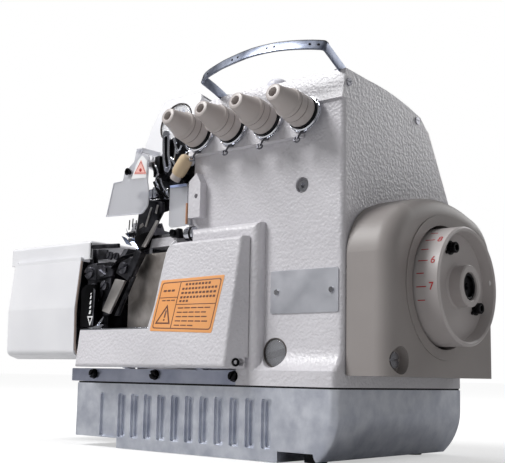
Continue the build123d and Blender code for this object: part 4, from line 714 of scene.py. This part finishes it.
piece("knife_blade", "knife", "satin_steel",
      slab(-106.2, -103.6, [(-88.8, 150.3), (-75.5, 147.9), (-95.0, 118.6), (-105.4, 121.7)], 0.5),
      slot="bright_steel", node="upper_knife")
piece("knife_holder", "knife", "blackened_iron",
      slab(-103.4, -99.0, [(-92, 156), (-75, 148), (-66, 161), (-70, 170), (-86, 166)], 1.0),
      hull([(-76, -104.4, 157), (-64, -104.4, 176.5), (-57.5, -104.4, 172), (-70, -104.4, 151),
            (-76, -99, 157), (-64, -97, 176.5), (-57.5, -97, 172), (-70, -99, 151)], 0.7),
      hull([(-72, -103.6, 148), (-91, -103.6, 117), (-86, -103.6, 117.5), (-66, -103.6, 152),
            (-72, -100.5, 148), (-91, -100.5, 117), (-86, -100.5, 117.5), (-66, -100.5, 152)], 0.5),
      hull([(-93, -103, 166), (-101, -103, 160), (-99, -68, 180), (-92, -68, 181), (-93, -98, 172),
            (-101, -98, 160), (-99, -66, 174), (-92, -66, 174)], 1.0), node="upper_knife_arm")
piece("knife_screws", "knife", "dark_steel", *slotted_head(front(-103.6, -79.5, 159.5), 5.2, 3.0, 20),
      *slotted_head(front(-103.6, -90.0, 171.0), 3.4, 2.4, 60), slot="blackened_iron")

# ---------------------------------------------------------------- needle side: eye guard
piece("eye_guard_panel", "eye_shield", "milky_plastic",
      plate(front(-107.1), rounded([(-101, 208.5), (-53.5, 206.5), (-46.8, 213), (-46.4, 228), (-48.5, 236),
                                    (-47, 258.5), (-55, 262), (-64, 257), (-79, 247), (-81, 238.8),
                                    (-92.5, 239)], 2.5), 1.6, 0.4, [circle(2.6, (-72.4, 246.6))]),
      slot="clear_plastic", node="eye_guard")
piece("eye_guard_rim", "eye_shield", "pale_rim",
      wire([(-101, -109.0, 209.5), (-101, -109.0, 208.2), (-54.5, -109.0, 206.6), (-48.5, -109.0, 211)], 0.55,
           "POLY"),
      wire([(-100.6, -109.0, 209.5), (-92.4, -109.0, 238.6), (-82, -109.0, 238.8)], 0.4, "POLY"),
      slot="clear_plastic")
piece("eye_guard_label", "eye_shield", "white_ink",
      plate(front(-108.8), rounded([(-69.5, 239.5), (-49.5, 238.5), (-49.0, 254), (-55.5, 260), (-61, 256)],
                                   1.5), 0.15, 0.03),
      slot="smooth_paint")
piece("eye_guard_triangle", "eye_shield", "pale_red_ink",
      plate(front(-109.0), rounded([(-65.6, 243.6), (-48.9, 241.8), (-56.8, 255.9)], 0.8), 0.15, 0.03),
      slot="smooth_paint")
piece("eye_guard_triangle_line", "eye_shield", "red_ink",
      plate(front(-109.12), rounded([(-64.6, 244.2), (-50.0, 242.6), (-56.8, 254.8)], 0.6), 0.08, 0.01,
            [rounded([(-63.8, 244.8), (-50.9, 243.2), (-56.8, 253.6)], 0.5)]),
      plate(front(-109.12), circle(1.6, (-57, 246.4)), 0.08, 0.01), slot="smooth_paint")
piece("eye_guard_tab", "frame", "dark_steel", slab(-106.0, -104.8,
                                                   [(-59.4, 227.5), (-51.5, 226.7), (-47.2, 218.1),
                                                    (-64.3, 220.8)], 0.2),
      slot="chrome_plate")
piece("eye_guard_pivot", "frame", "black_oxide",
      turned(front(-103.6, -72.4, 246.6), ((1.4, 0), (2.5, 0), (2.5, 7.0), (3.3, 7.0), (3.3, 7.8), (2.2, 8.0),
                                           (2.2, 7.4), (1.4, 7.4)), 36), slot="chrome_plate")
piece("eye_guard_arm", "frame", "milky_plastic",
      hull([(-75.5, -103.4, 244), (-69, -103.4, 244), (-62, -103.4, 268), (-70, -103.4, 268),
            (-75.5, -101.4, 244), (-69, -101.4, 244), (-62, -101.4, 268), (-70, -101.4, 268)], 0.6),
      hull([(-70, -103.4, 264), (-62, -103.4, 264), (-62, -80, 266), (-70, -80, 266), (-70, -103.4, 269),
            (-62, -103.4, 269), (-62, -80, 269), (-70, -80, 269)], 0.6), slot="clear_plastic",
      node="eye_guard_bracket")
piece("finger_guard_top", "frame", "blue_tint", slab(-94.3, -93.7,
                                                     [(-33.8, 229.8), (-13.4, 229.2), (-13.4, 231.6),
                                                      (-33.8, 232)], 0.2),
      slot="clear_plastic")
piece("finger_guard_side", "frame", "tan_edge", slab(-94.2, -91.6,
                                                     [(-13.6, 195.5), (-12.3, 195.5), (-12.1, 214),
                                                      (-13.4, 214)], 0.2),
      slot="clear_plastic")

# ---------------------------------------------------------------- needle side: head linkage
piece("linkage_casting", "frame", "blackened_iron",
      slab(-87.6, -84.6, [(-57, 240), (-44, 238), (-36, 247), (-36, 278.5), (-46.5, 276), (-50, 262),
                          (-57, 256)], 0.8),
      slab(-88.2, -84.9, [(-36.5, 240), (-10.5, 218.5), (-10.0, 253), (-13.5, 256), (-14.5, 272),
                          (-36.5, 279)], 0.8),
      slab(-86.4, -83.4, [(-58, 224), (-12, 218), (-12, 246), (-58, 250)], 0.8))
piece("take_up_strip", "take_up", "chrome_plate",
      plate(front(-90.4), rounded([(-48.0, 281), (-46.5, 284.4), (-41.0, 284.4), (-39.0, 280), (-38.4, 262),
                                   (-35.0, 250.5), (-39.5, 244.5), (-44.0, 246.5), (-46.3, 255),
                                   (-47.4, 266)], 1.6), 1.9, 0.35,
            [rounded([(-45.6, 279), (-41.4, 279), (-41.0, 262), (-38.6, 251), (-41.5, 249.5), (-44.4, 260)],
                     1.2)]),
      node="take_up_lever")
piece("take_up_back", "take_up", "black_oxide",
      plate(front(-89.4), rounded([(-46.5, 282), (-40.5, 282), (-39.5, 262), (-36.5, 250.5), (-40.0, 246.5),
                                   (-45, 256)], 1.0), 0.8, 0.2),
      slot="chrome_plate")
chrome_bits = [
    wire([(-34.0, -91.0, 276), (-30.5, -91.5, 266), (-27.0, -91.0, 262), (-24.0, -91.0, 268)], 1.1),
    wire([(-36.5, -91.5, 258), (-30.0, -92.5, 252), (-27.5, -92.0, 244), (-31.0, -92.0, 236)], 1.3),
    wire([(-31.5, -90.5, 272), (-31.0, -91.5, 262), (-33.5, -91.0, 254)], 0.8),
    wire([(-52.0, -91.5, 246), (-55.5, -92.5, 240), (-49.0, -93.0, 232), (-43.5, -92.0, 226)], 1.2),
    wire([(-47.5, -93.0, 240), (-44.5, -93.5, 232), (-39.0, -93.0, 227)], 1.2),
    wire([(-57.5, -91.0, 254), (-53.0, -92.0, 251), (-52.5, -91.5, 246)], 0.9),
    wire([(-19.5, -90.5, 268), (-17.0, -91.5, 262), (-13.5, -90.5, 264)], 0.9),
    wire([(-20.0, -91.0, 258), (-15.0, -92.0, 262), (-10.5, -91.5, 259), (-11.5, -91.0, 254)], 0.8),
    slab(-94.0, -88.6, ((-57.5, 233), (-50.5, 234.5), (-48.5, 224), (-56.0, 222.5)), 1.2),
    slab(-92.5, -88.6, ((-46.5, 229), (-38.5, 231), (-36.5, 222), (-45.0, 220.5)), 1.0),
    slab(-90.5, -84.0, ((-69, 232), (-61, 233), (-60.5, 224.5), (-68.5, 223)), 1.2),
    slab(-92.8, -88.4, ((-34.5, 249), (-29, 251), (-27, 244), (-32.5, 242)), 1.0),
]
chrome_bits += slotted_head(front(-92.4, -53.2, 228.6), 2.6, 1.6, 20) + slotted_head(front(-89.4, -22.5, 228),
                                                                                     3.0, 1.8, 60)
chrome_bits += slotted_head(front(-89.4, -30.0, 263.5), 2.4, 1.4, 0) + slotted_head(front(-89.4, -16.5, 247),
                                                                                    2.2, 1.4, 40)
piece("linkage_rods", "frame", "chrome_plate", *chrome_bits)
dark_bits = [
    slab(-91.0, -84.0, ((-58.5, 262), (-52.5, 263), (-50.5, 247), (-58.0, 245)), 0.8),
    slab(-90.4, -86.0, ((-27.5, 274), (-21.0, 272), (-19.0, 256), (-26.0, 255)), 0.8),
    wire([(-56.0, -92.8, 238), (-50.0, -93.6, 229), (-45.0, -93.2, 221)], 1.3),
    wire([(-51.5, -94.0, 241), (-46.8, -94.6, 233), (-42.0, -94.0, 224), (-37.5, -93.2, 221)], 0.9),
    wire([(-62.0, -90.0, 256), (-57.0, -91.0, 250), (-57.5, -91.0, 243)], 1.2),
    wire([(-22.0, -90.0, 244), (-17.0, -90.6, 236), (-19.5, -90.2, 229)], 1.5),
]
piece("linkage_levers", "frame", "black_oxide", *dark_bits)
piece("milky_bearing", "frame", "pale_rim",
      turned(front(-88.2, -12.8, 251.0), ((0, 0), (3.0, 0), (3.0, 2.2), (2.0, 3.0), (0, 3.0)), 28),
      slot="cream_plastic")

# ---------------------------------------------------------------- needle side: presser, grip and barrel
piece("presser_lever", "presser", "blackened_iron",
      slab(-97.6, -92.8, [(-64.5, 222.4), (-40.0, 217.5), (-40.5, 208.9), (-48.5, 200.6), (-57.8, 186),
                          (-73.5, 189), (-70.6, 209.1)], 1.0),
      hull([(-66, -93, 220), (-66, -93, 206), (-56, -93, 206), (-56, -93, 220), (-66, -34, 243),
            (-66, -34, 230), (-56, -34, 230), (-56, -34, 243)], 1.2),
      turned(side(-67, -30, 236), ((3.7, 0), (8.5, 0), (8.5, 22), (3.7, 22)), 48), slot="blackened_iron",
      node="presser_arm")
piece("presser_ribs", "presser", "satin_steel",
      slab(-99.6, -97.4, [(-44.8, 201.2), (-41.6, 200.0), (-58.0, 177.5), (-62.8, 178.6)], 0.4),
      slab(-98.6, -97.4, [(-53.5, 214), (-51.8, 213.6), (-58.5, 196), (-60.6, 196.6)], 0.3),
      slab(-98.4, -97.4, [(-67.0, 199), (-63.5, 200.5), (-62.0, 197.5), (-67.8, 195.5)], 0.4),
      slab(-98.2, -97.4, [(-46.0, 215.6), (-43.8, 214.8), (-46.0, 207), (-48.2, 208)], 0.3),
      slot="bright_steel")
piece("presser_toe", "presser", "black_oxide",
      slab(-98.8, -93.4, [(-59.0, 188), (-52.5, 192.5), (-58.0, 177), (-66.0, 175.5), (-72.5, 183.7),
                          (-73.5, 189)], 0.6),
      slot="blackened_iron")
piece("release_handle", "release", "tan_plastic",
      turned(stand((-24.6, -98, 235.4), (15.4, 0, 18.4), (0, -1, 0)),
             ((0, 4.2), (3.6, 4.4), (5.4, 5.6), (6.2, 8.0), (6.4, 12), (6.3, 20), (5.8, 23.0), (4.2, 24.6),
              (0, 25)), 40),
      node="release_grip")
piece("release_collar", "release", "cream_plastic",
      turned(stand((-24.6, -98, 235.4), (15.4, 0, 18.4), (0, -1, 0)),
             ((0, 0), (4.2, 0), (4.8, 0.8), (4.8, 5.4), (0, 5.6)), 32))
barrel_place = side(-17.0, -89.0, 187.0)
piece("stitch_barrel", "stitch_push", "chrome_plate",
      turned(barrel_place, ((0, 0), (3.2, 0), (3.2, 1.5), (6.0, 2.2), (6.4, 3.4), (6.4, 10.5), (5.4, 12),
                            (0, 12)), 44),
      node="stitch_button")
piece("stitch_barrel_band", "stitch_push", "black_oxide",
      turned(barrel_place, ((6.2, 8.3), (6.6, 8.5), (6.6, 10.6), (6.2, 10.8)), 44), slot="chrome_plate")
piece("barrel_carrier", "frame", "black_oxide",
      slab(-95.0, -88.5, ((-31, 190), (-21.5, 193), (-19.5, 184), (-30, 184.5)), 1.0),
      *slotted_head(front(-94.8, -27.2, 188.6), 3.2, 2.2, 25), slot="blackened_iron")
blades = [hull([(-92.0, -98, 191), (-86, -97, 183), (-77, -99, 180.5), (-84, -98.4, 188), (-90, -96, 190),
                (-79, -96, 181)], 0.2),
          hull([(-88.5, -96, 199), (-85.0, -96, 190), (-82.0, -96, 188), (-84, -95, 190)], 0.1),
          hull([(-78.0, -99, 184), (-70.0, -99.6, 178), (-66, -99, 176), (-74, -98, 184)], 0.2)]
piece("looper_blades", "frame", "blue_steel", *blades, slot="bright_steel")
spikes = [wire([(x, -96.0, z), (x + 1.2, -96.5, z + rise)], 0.55, "POLY") for x, z, rise in
          ((-84.0, 196, 9), (-79.5, 198, 8), (-75.0, 195, 9), (-77.5, 188, 6))]
piece("thread_pins", "frame", "black_oxide", *spikes)

# ---------------------------------------------------------------- camera, floor and light
scene = bpy.context.scene
view_yaw = radians(40.832)
view_pitch = radians(8.592)
view_roll = radians(-1.124)
look = Vector((-sin(view_yaw) * cos(view_pitch), cos(view_yaw) * cos(view_pitch), sin(view_pitch)))
level_right = Vector((cos(view_yaw), sin(view_yaw), 0))
upright = level_right.cross(look)
camera_right = cos(view_roll) * level_right - sin(view_roll) * upright
camera_up = sin(view_roll) * level_right + cos(view_roll) * upright
camera_data = bpy.data.cameras.new("camera")
camera_data.lens = 68.67
camera = bpy.data.objects.new("camera", camera_data)
turn = Matrix((camera_right, camera_up, -look)).transposed().to_4x4()
camera.matrix_world = Matrix.Translation((0.573764, -0.683657, 0.06462)) @ turn
scene.collection.objects.link(camera)
scene.camera = camera

world = bpy.data.worlds.new("studio")
world.use_nodes = True
sky = world.node_tree
sky_seen = 1.0
sky_light = 0.19
seen = sky.nodes.new("ShaderNodeLightPath").outputs["Is Camera Ray"]
sky_strength = add(sky, "ShaderNodeMapRange", {"Value": seen, "To Min": sky_light, "To Max": sky_seen})
sky.links.new(sky_strength.outputs["Result"], sky.nodes["Background"].inputs["Strength"])
sky.nodes["Background"].inputs["Color"].default_value = (1.0, 1.0, 1.0, 1.0)
scene.world = world
scene.view_settings.view_transform = "Standard"

floor_mesh = bpy.data.meshes.new("floor")
reach = 40.0
floor_mesh.from_pydata([(-reach, -reach, 0), (reach, -reach, 0), (reach, reach, 0), (-reach, reach, 0)], [],
                       [(0, 1, 2, 3)])
floor = bpy.data.objects.new("floor", floor_mesh)
floor.location.z = -0.5 * MM
scene.collection.objects.link(floor)
# white paper sweep with painted light: an emission only camera rays see, weaker near the machine and stronger
# away from it
floor_finish, floor_tree, floor_output, floor_place = blank("white_paper")
away = add(floor_tree, "ShaderNodeVectorMath", {0: floor_place}, operation="LENGTH")
glow = add(floor_tree, "ShaderNodeMapRange", {"Value": away.outputs["Value"], "From Min": 0.2,
                                              "From Max": 1.4, "To Min": 0.5, "To Max": 0.85},
           interpolation_type="SMOOTHSTEP")
floor_seen = floor_tree.nodes.new("ShaderNodeLightPath").outputs["Is Camera Ray"]
floor_glow = add(floor_tree, "ShaderNodeMath", {0: glow.outputs["Result"], 1: floor_seen},
                 operation="MULTIPLY")
surface(floor_tree, floor_output, {"Base Color": linear("#BEBEBE"), "Roughness": 0.9,
                                   "Specular IOR Level": 0.1, "Emission Color": linear("#FFFFFF"),
                                   "Emission Strength": floor_glow.outputs[0]})
floor_mesh.materials.append(floor_finish)


def softbox(name, place, target, size, power, colour="#FFFFFF"):
    """A soft studio light aimed at a point."""
    data = bpy.data.lights.new(name, "AREA")
    data.shape = "RECTANGLE"
    data.size, data.size_y = size
    data.energy = power
    data.color = linear(colour)[:3]
    light = bpy.data.objects.new(name, data)
    light.location = place
    light.rotation_euler = (Vector(target) - Vector(place)).to_track_quat("-Z", "Y").to_euler()
    scene.collection.objects.link(light)


softbox("key", (-0.85, -1.3, 1.75), (0, 0, 0.15), (0.9, 0.9), 46)
softbox("top", (-0.4, 0.1, 1.8), (0, 0, 0.2), (1.2, 0.8), 9)
softbox("fill", (1.9, -0.6, 0.7), (0, 0, 0.15), (0.5, 1.2), 1.2)
softbox("back", (0.5, 1.6, 1.0), (0, 0, 0.15), (1.2, 0.8), 8)
